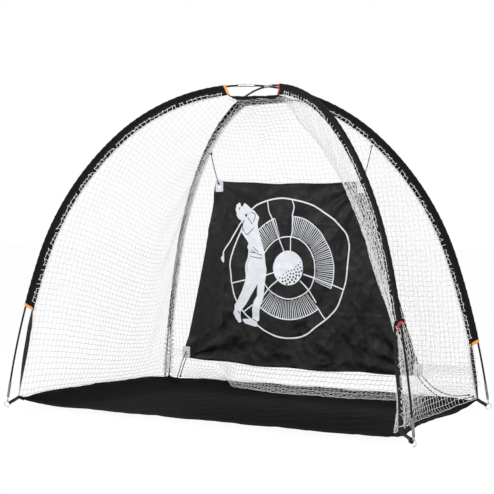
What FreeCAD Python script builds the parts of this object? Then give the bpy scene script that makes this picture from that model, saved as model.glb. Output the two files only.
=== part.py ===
import FreeCAD, Part
import math
import os
import Sketcher

# Golf chipping net: two sectioned poles bent over the diagonals of a floor sheet, cloth sleeves,
# three net walls, a crown cloth and a hung target sheet, with a ground ring at each foot.
# Millimetres, +X along the front edge, -Y is the open front, +Z up. Z = 0 is the ground, and the
# origin is under the middle of the four pole ends.

V = FreeCAD.Vector
UP = V(0, 0, 1)

DIMENSIONS = {
    # plan of the four pole ends
    "front_width": 1925,
    "back_width": 1697,
    # one pole is six sections; from its middle outwards each turns by these angles (degrees)
    "section_length": 625,
    "turn_top": 43,
    "turn_middle": 29,
    "turn_low": 10,
    "pole_end_height": 35.5,
    "crossing_gap": 9,
    "pole_diameter": 8.5,
    "pole_bore": 4.6,
    "shock_cord_diameter": 3,
    "ferrule_length": 70,
    "ferrule_outer": 11.2,
    "ferrule_bore": 9.4,
    "tip_bore": 8.7,
    # pin and ring at each pole end
    "pin_diameter": 4,
    "pin_depth": 30,
    "eye_radius": 4.2,
    "eye_wire": 3,
    "ring_radius": 13,
    "ring_wire": 3.6,
    "ring_clearance": 0.4,
    # webbing loop from the ring to the floor corner, and the strip above it
    "webbing_width": 20,
    "webbing_thickness": 1.2,
    "loop_width": 14,
    "loop_radius": 8.2,
    "loop_reach": 52,
    "loop_tilt": 32,
    "loop_offset": 3.1,
    "loop_neck": 12,
    "strip_inset": 28,
    "strip_foot_inset": 33,
    "strip_gap": 1.5,
    "strip_lift": 13,
    # sleeves: how far they end from the pole's end and from its middle, and their section
    "front_sleeve_end": 408,
    "back_sleeve_end": 252,
    "front_sleeve_top": 90,
    "back_sleeve_top": 230,
    "sleeve_bore": 12.4,
    "sleeve_outer": 14,
    "sleeve_depth": 39,
    "sleeve_cloth": 1.6,
    "binding_length": 24,
    "binding_outer": 15.8,
    "binding_cloth": 3.2,
    "binding_overhang": 0.8,
    # floor sheet
    "corner_inset": 56,
    "corner_lift": 40,
    "corner_fold": 170,
    "front_lift": 20,
    "right_lift": 2,
    "back_lift": 30,
    "left_lift": 55,
    "right_bow": 80,
    "floor_thickness": 1.2,
    # net walls and crown
    "net_inset": 43,
    "net_corner_inset": 50,
    "net_thickness": 2,
    "net_clearance": 5,
    "net_edge_offset": 2.5,
    "left_sag": 70,
    "back_sag": 30,
    "right_sag": 145,
    "right_tuck": 0.45,
    "crown_inset": 40,
    "crown_gap": 4,
    "crown_rise": 8,
    "crown_thickness": 1.4,
    # target sheet
    "target_plane": 275,
    "target_top_width": 770,
    "target_bottom_width": 1225,
    "target_height": 830,
    "target_base_height": 162.5,
    "target_middle": 15,
    "target_shift": 42,
    "target_drop": 15,
    "target_thickness": 3,
    "tab_width": 40,
    "tab_height": 52,
    "tab_thickness": 1.5,
    "grommet_outer": 18,
    "grommet_bore": 10,
    "grommet_length": 7,
    "grommet_inset": 21,
    "grommet_rise": 25,
    "grommet_front": 4.2,
    "cord_diameter": 4,
}

# corner name: pole, and side of the pole's middle (-1 front, +1 back)
LEGS = {
    "front_left": ("a", -1),
    "back_right": ("a", 1),
    "front_right": ("b", -1),
    "back_left": ("b", 1),
}
ARC_TURNS = ("turn_top", "turn_middle", "turn_low")

doc = FreeCAD.newDocument("golf_chipping_net")
sheet = doc.addObject("Spreadsheet::Sheet", "dims")
for row, (alias, value) in enumerate(DIMENSIONS.items(), start=1):
    sheet.set(f"A{row}", alias.replace("_", " "))
    sheet.set(f"B{row}", str(value))
    sheet.setAlias(f"B{row}", alias)
doc.recompute()


def dim(alias):
    return float(sheet.get(alias))


def arc_radius(turn):
    """Radius of the arc that a section makes when it turns by this dimension's angle."""
    return dim("section_length") / math.radians(dim(turn))


def arc_radius_expression(turn):
    return f"dims.section_length * 180 / (dims.{turn} * 3.14159265358979)"


# ---------------------------------------------------------------- the poles' centre lines

def build_arcs():
    """The half pole's three tangent arcs, outwards from the middle, in the pole's own plane.

    Each is (turn name, radius, centre across, centre up, first angle, last angle), with angles
    from the vertical and heights from the pole's highest point.
    """
    arcs = []
    across = 0.0
    height = 0.0
    angle = 0.0
    for turn in ARC_TURNS:
        radius = arc_radius(turn)
        centre_across = across - radius * math.sin(angle)
        centre_height = height - radius * math.cos(angle)
        last = angle + math.radians(dim(turn))
        arcs.append((turn, radius, centre_across, centre_height, angle, last))
        across = centre_across + radius * math.sin(last)
        height = centre_height + radius * math.cos(last)
        angle = last
    return arcs, across, height


ARCS, HALF_SPAN, POLE_FALL = build_arcs()
HALF_LENGTH = 3 * dim("section_length")
MEAN_WIDTH = (dim("front_width") + dim("back_width")) / 2
DEPTH = math.sqrt((2 * HALF_SPAN) ** 2 - MEAN_WIDTH ** 2)
POLE_SIGN = {"a": 1, "b": -1}
POLE_TOP = {
    "a": dim("pole_end_height") + dim("crossing_gap") - POLE_FALL,
    "b": dim("pole_end_height") - POLE_FALL,
}


def pole_direction(pole):
    """Level direction from the pole's front end to its back end."""
    return V(POLE_SIGN[pole] * MEAN_WIDTH, DEPTH, 0) / (2 * HALF_SPAN)


def pole_normal(pole):
    """Level direction square to the pole's plane."""
    return UP.cross(pole_direction(pole))


def pole_middle(pole):
    shift = (dim("front_width") - dim("back_width")) / 4
    return V(-POLE_SIGN[pole] * shift, 0, POLE_TOP[pole])


def arc_at(distance):
    """The arc that a distance from the pole's middle lies on."""
    return ARCS[int(abs(distance) // dim("section_length"))]


def pole_place(distance):
    """Place across, height and angle on the pole's plane, at a signed distance from its middle."""
    side = -1 if distance < 0 else 1
    reach = abs(distance)
    index = min(int(reach // dim("section_length")), 2)
    radius, across, height, first = ARCS[index][1:5]
    along = min(reach, HALF_LENGTH) - index * dim("section_length")
    angle = first + along / radius
    straight = max(reach - HALF_LENGTH, 0.0)
    across += radius * math.sin(angle) + straight * math.cos(angle)
    height += radius * math.cos(angle) - straight * math.sin(angle)
    return side * across, height, side * angle


def radial(pole, angle):
    return pole_direction(pole) * math.sin(angle) + UP * math.cos(angle)


def pole_point(pole, distance, inset=0.0):
    """A point beside the pole, moved inwards by inset in the pole's plane."""
    across, height, angle = pole_place(distance)
    middle = pole_middle(pole) + pole_direction(pole) * across + UP * height
    return middle - radial(pole, angle) * inset


def frame(origin, x_axis, z_axis):
    """Placement with these local X and Z axes."""
    y_axis = z_axis.cross(x_axis)
    matrix = FreeCAD.Matrix(
        x_axis.x, y_axis.x, z_axis.x, origin.x,
        x_axis.y, y_axis.y, z_axis.y, origin.y,
        x_axis.z, y_axis.z, z_axis.z, origin.z,
        0, 0, 0, 1)
    return FreeCAD.Placement(matrix)


def pole_frame(pole, distance):
    """Local X away from the pole's inner side, Y along the pole, Z square to its plane."""
    angle = pole_place(distance)[2]
    return frame(pole_point(pole, distance), radial(pole, angle), pole_normal(pole))


def leg_distance(corner, from_end):
    """Signed distance from the pole's middle of a point this far from the corner's pole end."""
    side = LEGS[corner][1]
    return side * (HALF_LENGTH - from_end)


def outward(corner):
    """Level direction from the pole's middle to the corner's pole end."""
    pole, side = LEGS[corner]
    return pole_direction(pole) * side


def pole_end(corner):
    return pole_point(LEGS[corner][0], leg_distance(corner, 0))


# ---------------------------------------------------------------- building blocks

def bind(target, **expressions):
    """Bind properties to spreadsheet cells."""
    for name, expression in expressions.items():
        target.setExpression(name, expression)


def torus(name, radius, wire_radius, sweep=None):
    """A ring, or a bent rod where a sweep is given; all three are expressions."""
    ring = doc.addObject("Part::Torus", name)
    bind(ring, Radius1=radius, Radius2=wire_radius)
    if sweep:
        bind(ring, Angle3=sweep)
    return ring


def cylinder(name, radius, length):
    rod = doc.addObject("Part::Cylinder", name)
    bind(rod, Radius=radius, Height=length)
    return rod


def box(name, length, width, height):
    block = doc.addObject("Part::Box", name)
    bind(block, Length=length, Width=width, Height=height)
    return block


def cut(name, base, tool, placement=None):
    result = doc.addObject("Part::Cut", name)
    result.Base = base
    result.Tool = tool
    result.Label = name
    if placement:
        result.Placement = placement
    return result


def group(name, members):
    """Identical pieces that share one node, each its own solid."""
    result = doc.addObject("Part::Compound", name)
    result.Links = members
    result.Label = name
    return result


def bent_tube(name, pole, start, turn, sweep, outer, bore):
    """A tube along one arc of a pole, from a signed distance onwards; sweep is an expression."""
    radius = arc_radius_expression(turn)
    outside = torus(name + "_outside", radius, f"dims.{outer} / 2", sweep)
    inside = torus(name + "_inside", radius, f"dims.{bore} / 2", sweep)
    place = frame_of_arc(pole, start, turn)
    return cut(name, outside, inside, place)


def frame_of_arc(pole, start, turn):
    """Frame at the centre of an arc of the pole, with X towards the tube's start."""
    side = -1 if start < 0 and turn != "turn_top" else 1
    arc = ARCS[ARC_TURNS.index(turn)]
    radius, across, height, first = arc[1], arc[2] * side, arc[3], arc[4]
    from_middle = abs(start) - ARC_TURNS.index(turn) * dim("section_length")
    angle = (first + from_middle / radius) * (-1 if start < 0 else 1)
    centre = pole_middle(pole) + pole_direction(pole) * across + UP * height
    return frame(centre, radial(pole, angle), pole_normal(pole))


def origin_plane(body, role):
    return [item for item in body.Origin.OriginFeatures if item.Role == role][0]


def new_body(name):
    body = doc.addObject("PartDesign::Body", name)
    body.Label = name
    return body


def new_sketch(body, name, role):
    sketch = body.newObject("Sketcher::SketchObject", name)
    sketch.AttachmentSupport = [(origin_plane(body, role), "")]
    sketch.MapMode = "FlatFace"
    return sketch


def bind_constraint(sketch, constraint, name, expression):
    index = sketch.addConstraint(constraint)
    sketch.renameConstraint(index, name)
    sketch.setExpression(f"Constraints.{name}", expression)


def circle(x, y, radius):
    return Part.Circle(V(x, y, 0), V(0, 0, 1), radius)


def line(a, b):
    return Part.LineSegment(V(a[0], a[1], 0), V(b[0], b[1], 0))


# ---------------------------------------------------------------- poles, ferrules and cords

def pole_sections(pole):
    """Six hollow sections, numbered from the front end to the back end."""
    turns = ("turn_low", "turn_middle", "turn_top", "turn_top", "turn_middle", "turn_low")
    sections = []
    for index, turn in enumerate(turns):
        start = (index - 3) * dim("section_length")
        name = f"pole_{pole}_section_{index + 1}"
        sweep = f"dims.{turn}"
        sections.append(bent_tube(name, pole, start, turn, sweep, "pole_diameter", "pole_bore"))
    return sections


def joining_ferrules(pole):
    """Five short tubes over the joints between the sections."""
    half = dim("ferrule_length") / 2
    length = dim("section_length")
    starts = [(-2 * length - half, "turn_low"), (-length - half, "turn_middle"),
              (-half, "turn_top"), (length - half, "turn_middle"), (2 * length - half, "turn_low")]
    tubes = []
    for index, (start, turn) in enumerate(starts):
        name = f"pole_{pole}_ferrule_{index + 1}"
        sweep = f"dims.ferrule_length / dims.section_length * dims.{turn}"
        tubes.append(bent_tube(name, pole, start, turn, sweep, "ferrule_outer", "ferrule_bore"))
    return group(f"pole_{pole}_joining_ferrules", tubes)


def end_ferrule(corner):
    """Metal tip over the pole's end."""
    pole, side = LEGS[corner]
    start = leg_distance(corner, dim("ferrule_length")) if side > 0 else -HALF_LENGTH
    sweep = "dims.ferrule_length / dims.section_length * dims.turn_low"
    return bent_tube(f"end_ferrule_{corner}", pole, start, "turn_low", sweep,
                     "ferrule_outer", "tip_bore")


def local_arcs(start, end):
    """Arcs of the pole's line between two signed distances, in the local frame at the start."""
    length = dim("section_length")
    marks = [m * length for m in (-2, -1, 1, 2) if start < m * length < end]
    across0, height0, angle0 = pole_place(start)
    pieces = []
    for a, b in zip([start] + marks, marks + [end]):
        middle = (a + b) / 2
        side = -1 if middle < 0 else 1
        arc = arc_at(middle)
        radius, across, height = arc[1], arc[2] * side, arc[3]
        offset = (across - across0, height - height0)
        x = offset[0] * math.sin(angle0) + offset[1] * math.cos(angle0)
        y = offset[0] * math.cos(angle0) - offset[1] * math.sin(angle0)
        first, last = pole_place(a)[2] - angle0, pole_place(b)[2] - angle0
        pieces.append(Part.ArcOfCircle(circle(x, y, radius), first, last))
    return pieces


def sweep_along_pole(body, pole, start, end, profile):
    """Sweep a profile sketch along the pole between two signed distances from its middle."""
    spine = new_sketch(body, body.Label + "_spine", "XY_Plane")
    arcs = local_arcs(start, end)
    for arc in arcs:
        spine.addGeometry(arc)
    doc.recompute()
    pipe = body.newObject("PartDesign::AdditivePipe", body.Label + "_sweep")
    pipe.Profile = profile
    pipe.Spine = (spine, [f"Edge{i + 1}" for i in range(len(arcs))])
    body.Placement = pole_frame(pole, start)
    return body


def shock_cord(pole):
    """Elastic cord inside the sections, tied to the pins at both ends."""
    body = new_body(f"pole_{pole}_shock_cord")
    profile = new_sketch(body, body.Label + "_profile", "XZ_Plane")
    profile.addGeometry(circle(0, 0, dim("shock_cord_diameter") / 2))
    bind_constraint(profile, Sketcher.Constraint("Radius", 0, dim("shock_cord_diameter") / 2),
                    "cord_radius", "dims.shock_cord_diameter / 2")
    reach = HALF_LENGTH - dim("pin_depth") - 5
    return sweep_along_pole(body, pole, -reach, reach, profile)


# ---------------------------------------------------------------- pins, rings and webbing

def eye_height():
    """Height of the pin's eye, so that the hanging ring just clears the ground."""
    return dim("ring_clearance") + dim("ring_wire") / 2 + 2 * dim("ring_radius")


def eye_distance(corner):
    """Distance of the pin's eye past the pole's end, along the pole's own line."""
    lean = ARCS[-1][5]
    return (pole_end(corner).z - eye_height()) / math.sin(lean)


def eye_centre(corner):
    return pole_point(LEGS[corner][0], leg_distance(corner, -eye_distance(corner)))


def ground_pin(corner):
    """Pin pushed up into the pole's end, with an eye for the ring."""
    pole = LEGS[corner][0]
    upwards = pole_end(corner) - eye_centre(corner)
    upwards.normalize()
    shank = doc.addObject("Part::Cylinder", f"pin_shank_{corner}")
    bind(shank, Radius="dims.pin_diameter / 2")
    shank.Height = eye_distance(corner) + dim("pin_depth") - dim("eye_radius")
    across = pole_normal(pole)
    shank.Placement = frame(eye_centre(corner) + upwards * dim("eye_radius"), across, upwards)
    eye = torus(f"pin_eye_{corner}", "dims.eye_radius", "dims.eye_wire / 2")
    eye.Placement = frame(eye_centre(corner), UP, outward(corner))
    pin = doc.addObject("Part::Fuse", f"ground_pin_{corner}")
    pin.Base = shank
    pin.Tool = eye
    pin.Label = f"ground_pin_{corner}"
    return pin


def ring_centre(corner):
    return eye_centre(corner) - UP * dim("ring_radius")


def ground_ring(corner):
    ring = torus(f"ground_ring_{corner}", "dims.ring_radius", "dims.ring_wire / 2")
    ring.Label = f"ground_ring_{corner}"
    ring.Placement = frame(ring_centre(corner), outward(corner), pole_normal(LEGS[corner][0]))
    return ring


def loop_outline(sketch):
    """Teardrop of webbing round the ring's wire, with its two ends sewn together."""
    ring_reach = dim("ring_radius") + dim("loop_offset")
    inner = dim("loop_radius")
    outer = inner + dim("webbing_thickness")
    tail = dim("webbing_thickness") * 1.4
    apex = dim("loop_reach") - dim("loop_neck")
    half_angle = math.acos(inner / (apex - ring_reach))
    cosine, sine = math.cos(half_angle), math.sin(half_angle)
    inner_point = (ring_reach + inner * cosine, inner * sine)
    outer_point = (ring_reach + outer * cosine, outer * sine)
    run = (outer_point[1] - tail) / cosine
    neck = (outer_point[0] + sine * run, tail)
    end = (dim("loop_reach"), tail)

    def below(point):
        return point[0], -point[1]

    sketch.addGeometry(Part.ArcOfCircle(circle(ring_reach, 0, inner), half_angle,
                                        2 * math.pi - half_angle))
    sketch.addGeometry(line(below(inner_point), (apex, 0)))
    sketch.addGeometry(line((apex, 0), inner_point))
    sketch.addGeometry(Part.ArcOfCircle(circle(ring_reach, 0, outer), half_angle,
                                        2 * math.pi - half_angle))
    sketch.addGeometry(line(below(outer_point), below(neck)))
    sketch.addGeometry(line(below(neck), below(end)))
    sketch.addGeometry(line(below(end), end))
    sketch.addGeometry(line(end, neck))
    sketch.addGeometry(line(neck, outer_point))
    bind_constraint(sketch, Sketcher.Constraint("Radius", 0, inner), "loop_radius",
                    "dims.loop_radius")
    bind_constraint(sketch, Sketcher.Constraint("Radius", 3, outer), "outer_radius",
                    "dims.loop_radius + dims.webbing_thickness")


def webbing_loop(corner):
    body = new_body(f"webbing_loop_{corner}")
    sketch = new_sketch(body, body.Label + "_outline", "XY_Plane")
    loop_outline(sketch)
    pad = body.newObject("PartDesign::Pad", body.Label + "_pad")
    pad.Profile = sketch
    pad.Midplane = True
    pad.setExpression("Length", "dims.loop_width")
    tilt = math.radians(dim("loop_tilt"))
    inwards = outward(corner) * -1
    along = inwards * math.cos(tilt) + UP * math.sin(tilt)
    height = UP * math.cos(tilt) - inwards * math.sin(tilt)
    body.Placement = frame(ring_centre(corner), along, height)
    return body


def sleeve_bottom(corner):
    side = LEGS[corner][1]
    return dim("front_sleeve_end") if side < 0 else dim("back_sleeve_end")


def sleeve_top(corner):
    side = LEGS[corner][1]
    return HALF_LENGTH - (dim("front_sleeve_top") if side < 0 else dim("back_sleeve_top"))


def net_corner(corner, inset):
    """Point over the floor corner, this far in from the pole's end."""
    point = pole_end(corner) - outward(corner) * inset
    return V(point.x, point.y, 0)


def hem_strip(corner):
    """Webbing from the sleeve's lower end down to the floor corner."""
    pole = LEGS[corner][0]
    top_distance = leg_distance(corner, sleeve_bottom(corner) - dim("strip_gap"))
    top = pole_point(pole, top_distance, dim("strip_inset"))
    foot = net_corner(corner, dim("strip_foot_inset"))
    foot += UP * (dim("corner_lift") + dim("strip_lift"))
    along = top - foot
    strip = doc.addObject("Part::Box", f"hem_strip_{corner}")
    bind(strip, Width="dims.webbing_width", Height="dims.webbing_thickness")
    strip.Length = along.Length
    along.normalize()
    normal = pole_normal(pole)
    width = normal.cross(along)
    start = foot - width * (dim("webbing_width") / 2) - normal * (dim("webbing_thickness") / 2)
    strip.Placement = frame(start, along, normal)
    strip.Label = f"hem_strip_{corner}"
    return strip


# ---------------------------------------------------------------- sleeves and bindings

def sleeve_profile(sketch, outer, cloth, depth):
    """Tunnel round the pole with a flat flange towards the inside of the net."""
    radius = dim(outer) / 2
    half = dim(cloth) / 2
    spread = math.asin(half / radius)
    root = -radius * math.cos(spread)
    sketch.addGeometry(circle(0, 0, dim("sleeve_bore") / 2))
    sketch.addGeometry(Part.ArcOfCircle(circle(0, 0, radius), math.pi + spread,
                                        3 * math.pi - spread))
    sketch.addGeometry(line((root, half), (-depth, half)))
    sketch.addGeometry(line((-depth, half), (-depth, -half)))
    sketch.addGeometry(line((-depth, -half), (root, -half)))
    bind_constraint(sketch, Sketcher.Constraint("Radius", 0, dim("sleeve_bore") / 2),
                    "tunnel_radius", "dims.sleeve_bore / 2")
    bind_constraint(sketch, Sketcher.Constraint("Radius", 1, radius),
                    "outside_radius", f"dims.{outer} / 2")


def sleeve_piece(name, corner, low, high, outer, cloth, depth):
    """Sleeve cloth between two distances from the pole's end."""
    pole = LEGS[corner][0]
    body = new_body(name)
    profile = new_sketch(body, name + "_profile", "XZ_Plane")
    sleeve_profile(profile, outer, cloth, depth)
    ends = sorted((leg_distance(corner, low), leg_distance(corner, high)))
    return sweep_along_pole(body, pole, ends[0], ends[1], profile)


def sleeve(corner):
    low = sleeve_bottom(corner) + dim("binding_length")
    high = sleeve_top(corner) - dim("binding_length")
    return sleeve_piece(f"sleeve_{corner}", corner, low, high,
                        "sleeve_outer", "sleeve_cloth", dim("sleeve_depth"))


def bindings(name, corners):
    """Coloured tape at both ends of two sleeves."""
    bands = []
    depth = dim("sleeve_depth") + dim("binding_overhang")
    for corner in corners:
        low, high = sleeve_bottom(corner), sleeve_top(corner)
        tape = dim("binding_length")
        for tag, start, end in (("low", low, low + tape), ("top", high - tape, high)):
            bands.append(sleeve_piece(f"binding_{corner}_{tag}", corner, start, end,
                                      "binding_outer", "binding_cloth", depth))
    return group(name, bands)


# ---------------------------------------------------------------- floor, nets and crown

FLOOR_ORDER = ("front_left", "front_right", "back_right", "back_left")
FLOOR_SIDES = ("front", "right", "back", "left")
BOW_NEAR_CORNER = 0.6


def side_bow(side):
    return dim("right_bow") if side == "right" else 0.0


def floor_sheet():
    """Sheet that lies flat, with its corners pulled up to the webbing and its edges lifted."""
    fold = dim("corner_fold")
    tips = [net_corner(corner, dim("corner_inset")) for corner in FLOOR_ORDER]
    along = [(tips[(i + 1) % 4] - tips[i]).normalize() for i in range(4)]
    inwards = [UP.cross(direction) for direction in along]
    rims = []
    middles = []
    knees = []
    for i, side in enumerate(FLOOR_SIDES):
        start, end = tips[i], tips[(i + 1) % 4]
        lift = UP * dim(side + "_lift")
        bow = inwards[i] * side_bow(side)
        bow_before = inwards[i - 1] * side_bow(FLOOR_SIDES[i - 1])
        rims.append((start + along[i] * fold + bow * BOW_NEAR_CORNER + lift,
                     (start + end) / 2 + bow + lift,
                     end - along[i] * fold + bow * BOW_NEAR_CORNER + lift))
        middles.append((start + end) / 2 + bow + inwards[i] * fold)
        knees.append(start + (along[i] + inwards[i]) * fold + (bow + bow_before) * BOW_NEAR_CORNER)
    raised = [tip + UP * dim("corner_lift") for tip in tips]
    thick = UP * dim("floor_thickness")
    outlines = [[point for pair in zip(knees, middles) for point in pair]]
    rim = []
    for i in range(4):
        first, middle, last = rims[i]
        following = knees[(i + 1) % 4]
        outlines += [[raised[i], first, knees[i]], [raised[i], knees[i], rims[i - 1][2]],
                     [first, middle, knees[i]], [middle, middles[i], knees[i]],
                     [middle, last, middles[i]], [last, following, middles[i]]]
        rim += [raised[i], first, middle, last]
    faces = [polygon([point + offset for point in outline])
             for offset in (V(0, 0, 0), thick) for outline in outlines]
    for a, b in zip(rim, rim[1:] + rim[:1]):
        faces.append(polygon([a, b, b + thick, a + thick]))
    return solid_feature("floor_sheet", faces)


def polygon(points):
    return Part.Face(Part.makePolygon(points + [points[0]]))


def solid_feature(name, faces):
    shell = Part.Shell(faces)
    shell.sewShape()
    solid = Part.Solid(shell)
    if solid.Volume < 0:
        solid.reverse()
    feature = doc.addObject("Part::Feature", name)
    feature.Label = name
    feature.Shape = solid
    return feature


def sheet_normals(rows):
    """Unit normals of a grid of points, from its neighbours."""
    count, width = len(rows), len(rows[0])
    normals = []
    for i in range(count):
        line_normals = []
        for j in range(width):
            along = rows[min(i + 1, count - 1)][j] - rows[max(i - 1, 0)][j]
            across = rows[i][min(j + 1, width - 1)] - rows[i][max(j - 1, 0)]
            line_normals.append(along.cross(across).normalize())
        normals.append(line_normals)
    return normals


def thick_sheet(name, rows, thickness):
    """Closed solid of even thickness about a smooth surface through a grid of points."""
    normals = sheet_normals(rows)
    surfaces = []
    for side in (-0.5, 0.5):
        grid = [[point + normal * (thickness * side) for point, normal in zip(row, row_normals)]
                for row, row_normals in zip(rows, normals)]
        surface = Part.BSplineSurface()
        surface.interpolate(grid)
        surfaces.append(surface)
    faces = [surface.toShape() for surface in surfaces]
    u0, u1, v0, v1 = surfaces[0].bounds()
    for edge_of in (lambda s: s.uIso(u0), lambda s: s.uIso(u1),
                    lambda s: s.vIso(v0), lambda s: s.vIso(v1)):
        edges = [edge_of(surface).toShape() for surface in surfaces]
        faces.append(Part.makeRuledSurface(edges[0], edges[1]))
    return solid_feature(name, faces)


def net_edge(corner, other, share):
    """Point and inward direction on the net's edge, from the floor corner (0) to the crown (1).

    The first part is the straight hem strip, the rest follows the sleeve's inner edge, a little
    towards the other pole.
    """
    pole = LEGS[corner][0]
    foot = net_corner(corner, dim("net_corner_inset"))
    foot += UP * (dim("corner_lift") + dim("net_clearance"))
    low = pole_point(pole, leg_distance(corner, sleeve_bottom(corner)), dim("net_inset"))
    strip = (low - foot).Length
    length = strip + sleeve_top(corner) - sleeve_bottom(corner)
    along = share * length
    if along < strip:
        distance = leg_distance(corner, sleeve_bottom(corner))
        point = foot + (low - foot) * (along / strip)
    else:
        distance = leg_distance(corner, sleeve_bottom(corner) + along - strip)
        point = pole_point(pole, distance, dim("net_inset"))
    towards = pole_normal(pole)
    if towards.dot(pole_end(other) - pole_end(corner)) < 0:
        towards = towards * -1
    point += towards * dim("net_edge_offset")
    return point, radial(pole, pole_place(distance)[2]) * -1


def ease(value):
    value = min(max(value, 0.0), 1.0)
    return value * value * (3 - 2 * value)


TUCK_TOP, TUCK_FADE = 0.34, 0.20
TUCK_START, TUCK_SPREAD = 0.10, 0.70


def net_wall(first, second, side):
    """Net between two poles, drawn inwards between them, with its hem along the floor's edge.

    The right wall is drawn in less near its front leg's foot.
    """
    across, upwards = 8, 14
    sag = dim(side + "_sag")
    tuck = dim("right_tuck") if side == "right" else 0.0
    fall = dim("corner_lift") - dim(side + "_lift")
    rows = []
    for i in range(upwards + 1):
        share = i / upwards
        a, inward_a = net_edge(first, second, share)
        b, inward_b = net_edge(second, first, share)
        inward = (inward_a + inward_b).normalize()
        level = V(inward.x, inward.y, 0).normalize()
        slack = sag * 2 * math.sqrt(share * (1 - share))
        row = []
        for j in range(across + 1):
            u = j / across
            arch = 4 * u * (1 - u)
            drawn = tuck * ease((TUCK_TOP - share) / TUCK_FADE)
            drawn *= ease((u - TUCK_START) / TUCK_SPREAD)
            point = a * (1 - u) + b * u + inward * (slack * arch * (1 - drawn))
            at_hem = min(share / 0.05, 1.0)
            point += level * (side_bow(side) * arch * (1 - share) ** 3 * (1 - drawn * at_hem))
            row.append(point - UP * (fall * (1 - share) ** 6 * (1 - (2 * u - 1) ** 4)))
        rows.append(row)
    return thick_sheet(side + "_net_wall", rows, dim("net_thickness"))


def crown_cloth():
    """Cloth between the four upper sleeve ends, just under the crossing."""
    corners = {}
    for corner in LEGS:
        pole = LEGS[corner][0]
        distance = leg_distance(corner, sleeve_top(corner) + dim("crown_gap"))
        corners[corner] = pole_point(pole, distance, dim("crown_inset"))
    steps = 6
    rows = []
    for i in range(steps + 1):
        v = i / steps
        left = corners["front_left"] * (1 - v) + corners["back_left"] * v
        right = corners["front_right"] * (1 - v) + corners["back_right"] * v
        row = []
        for j in range(steps + 1):
            u = j / steps
            rise = dim("crown_rise") * 16 * u * (1 - u) * v * (1 - v)
            row.append(left * (1 - u) + right * u + UP * rise)
        rows.append(row)
    return thick_sheet("crown_cloth", rows, dim("crown_thickness"))


# ---------------------------------------------------------------- target sheet and its cords

def target_corners():
    """Corners of the hung sheet as (across, up): it hangs a little lower on the right."""
    top = dim("target_base_height") + dim("target_height")
    base = dim("target_base_height")
    half_drop = dim("target_drop") / 2
    half_shift = dim("target_shift") / 2
    half_top, half_base = dim("target_top_width") / 2, dim("target_bottom_width") / 2
    middle = dim("target_middle")
    return {
        "back_left_top": (middle - half_shift - half_top, top + half_drop),
        "back_right_top": (middle - half_shift + half_top, top - half_drop),
        "back_right_base": (middle + half_shift + half_base, base - half_drop),
        "back_left_base": (middle + half_shift - half_base, base + half_drop),
    }


def grommet_place(name):
    """Centre of a grommet, in from its corner."""
    x, z = target_corners()[name]
    x += dim("grommet_inset") if "left" in name else -dim("grommet_inset")
    z += -dim("grommet_rise") if "top" in name else dim("grommet_rise")
    return x, z


def target_sheet():
    body = new_body("target_sheet")
    outline = new_sketch(body, "target_outline", "XZ_Plane")
    corners = list(target_corners().values())
    for index in range(4):
        outline.addGeometry(line(corners[index], corners[(index + 1) % 4]))
    for index in range(4):
        outline.addConstraint(Sketcher.Constraint("Coincident", index, 2, (index + 1) % 4, 1))
    for index, name in enumerate(target_corners()):
        x, z = grommet_place(name)
        outline.addGeometry(circle(x, z, dim("grommet_outer") / 2))
        bind_constraint(outline, Sketcher.Constraint("Radius", 4 + index, dim("grommet_outer") / 2),
                        f"hole_{index + 1}", "dims.grommet_outer / 2")
    pad = body.newObject("PartDesign::Pad", "target_pad")
    pad.Profile = outline
    pad.Midplane = True
    pad.setExpression("Length", "dims.target_thickness")
    body.Placement = FreeCAD.Placement(V(0, dim("target_plane"), 0), FreeCAD.Rotation())
    return body


def hole_tool(name, corner):
    x, z = grommet_place(corner)
    rod = cylinder(name, "dims.grommet_outer / 2", "dims.grommet_length * 3")
    start = V(x, dim("target_plane") + dim("grommet_length"), z)
    rod.Placement = frame(start, V(1, 0, 0), V(0, -1, 0))
    return rod


def corner_tabs():
    """Four cloth tabs on the front of the sheet."""
    tabs = []
    for name, (x, z) in target_corners().items():
        tab = box(f"tab_{name}", "dims.tab_width", "dims.tab_thickness", "dims.tab_height")
        left = x if "left" in name else x - dim("tab_width")
        base = z - dim("tab_height") if "top" in name else z
        front = dim("target_plane") - dim("target_thickness") / 2 - dim("tab_thickness")
        tab.Placement = FreeCAD.Placement(V(left, front, base), FreeCAD.Rotation())
        tabs.append(cut(f"corner_tab_{name}", tab, hole_tool(f"tab_hole_{name}", name)))
    return group("target_corner_tabs", tabs)


def grommets():
    eyelets = []
    for name in target_corners():
        x, z = grommet_place(name)
        front = dim("target_plane") - dim("grommet_front")
        outside = cylinder(f"eyelet_outside_{name}", "dims.grommet_outer / 2",
                           "dims.grommet_length")
        bore = cylinder(f"eyelet_bore_{name}", "dims.grommet_bore / 2", "dims.grommet_length")
        place = frame(V(x, front, z), V(1, 0, 0), V(0, 1, 0))
        eyelets.append(cut(f"eyelet_{name}", outside, bore, place))
    return group("target_grommets", eyelets)


def rounded_path(points):
    """Straight runs joined by tangent arcs, each as large as its two runs allow."""
    edges = []
    start = points[0]
    radii = []
    for before, corner, after in zip(points, points[1:], points[2:]):
        back, ahead = before - corner, after - corner
        turn = math.pi - back.getAngle(ahead)
        trim = 0.45 * min(back.Length, ahead.Length)
        radii.append(trim / math.tan(turn / 2))
        back.normalize()
        ahead.normalize()
        first, last = corner + back * trim, corner + ahead * trim
        bisector = (back + ahead).normalize()
        centre_distance = math.hypot(trim, radii[-1])
        middle = corner + bisector * (centre_distance - radii[-1])
        edges.append(Part.LineSegment(start, first).toShape())
        edges.append(Part.Arc(first, middle, last).toShape())
        start = last
    edges.append(Part.LineSegment(start, points[-1]).toShape())
    return Part.Wire(edges), radii


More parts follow.
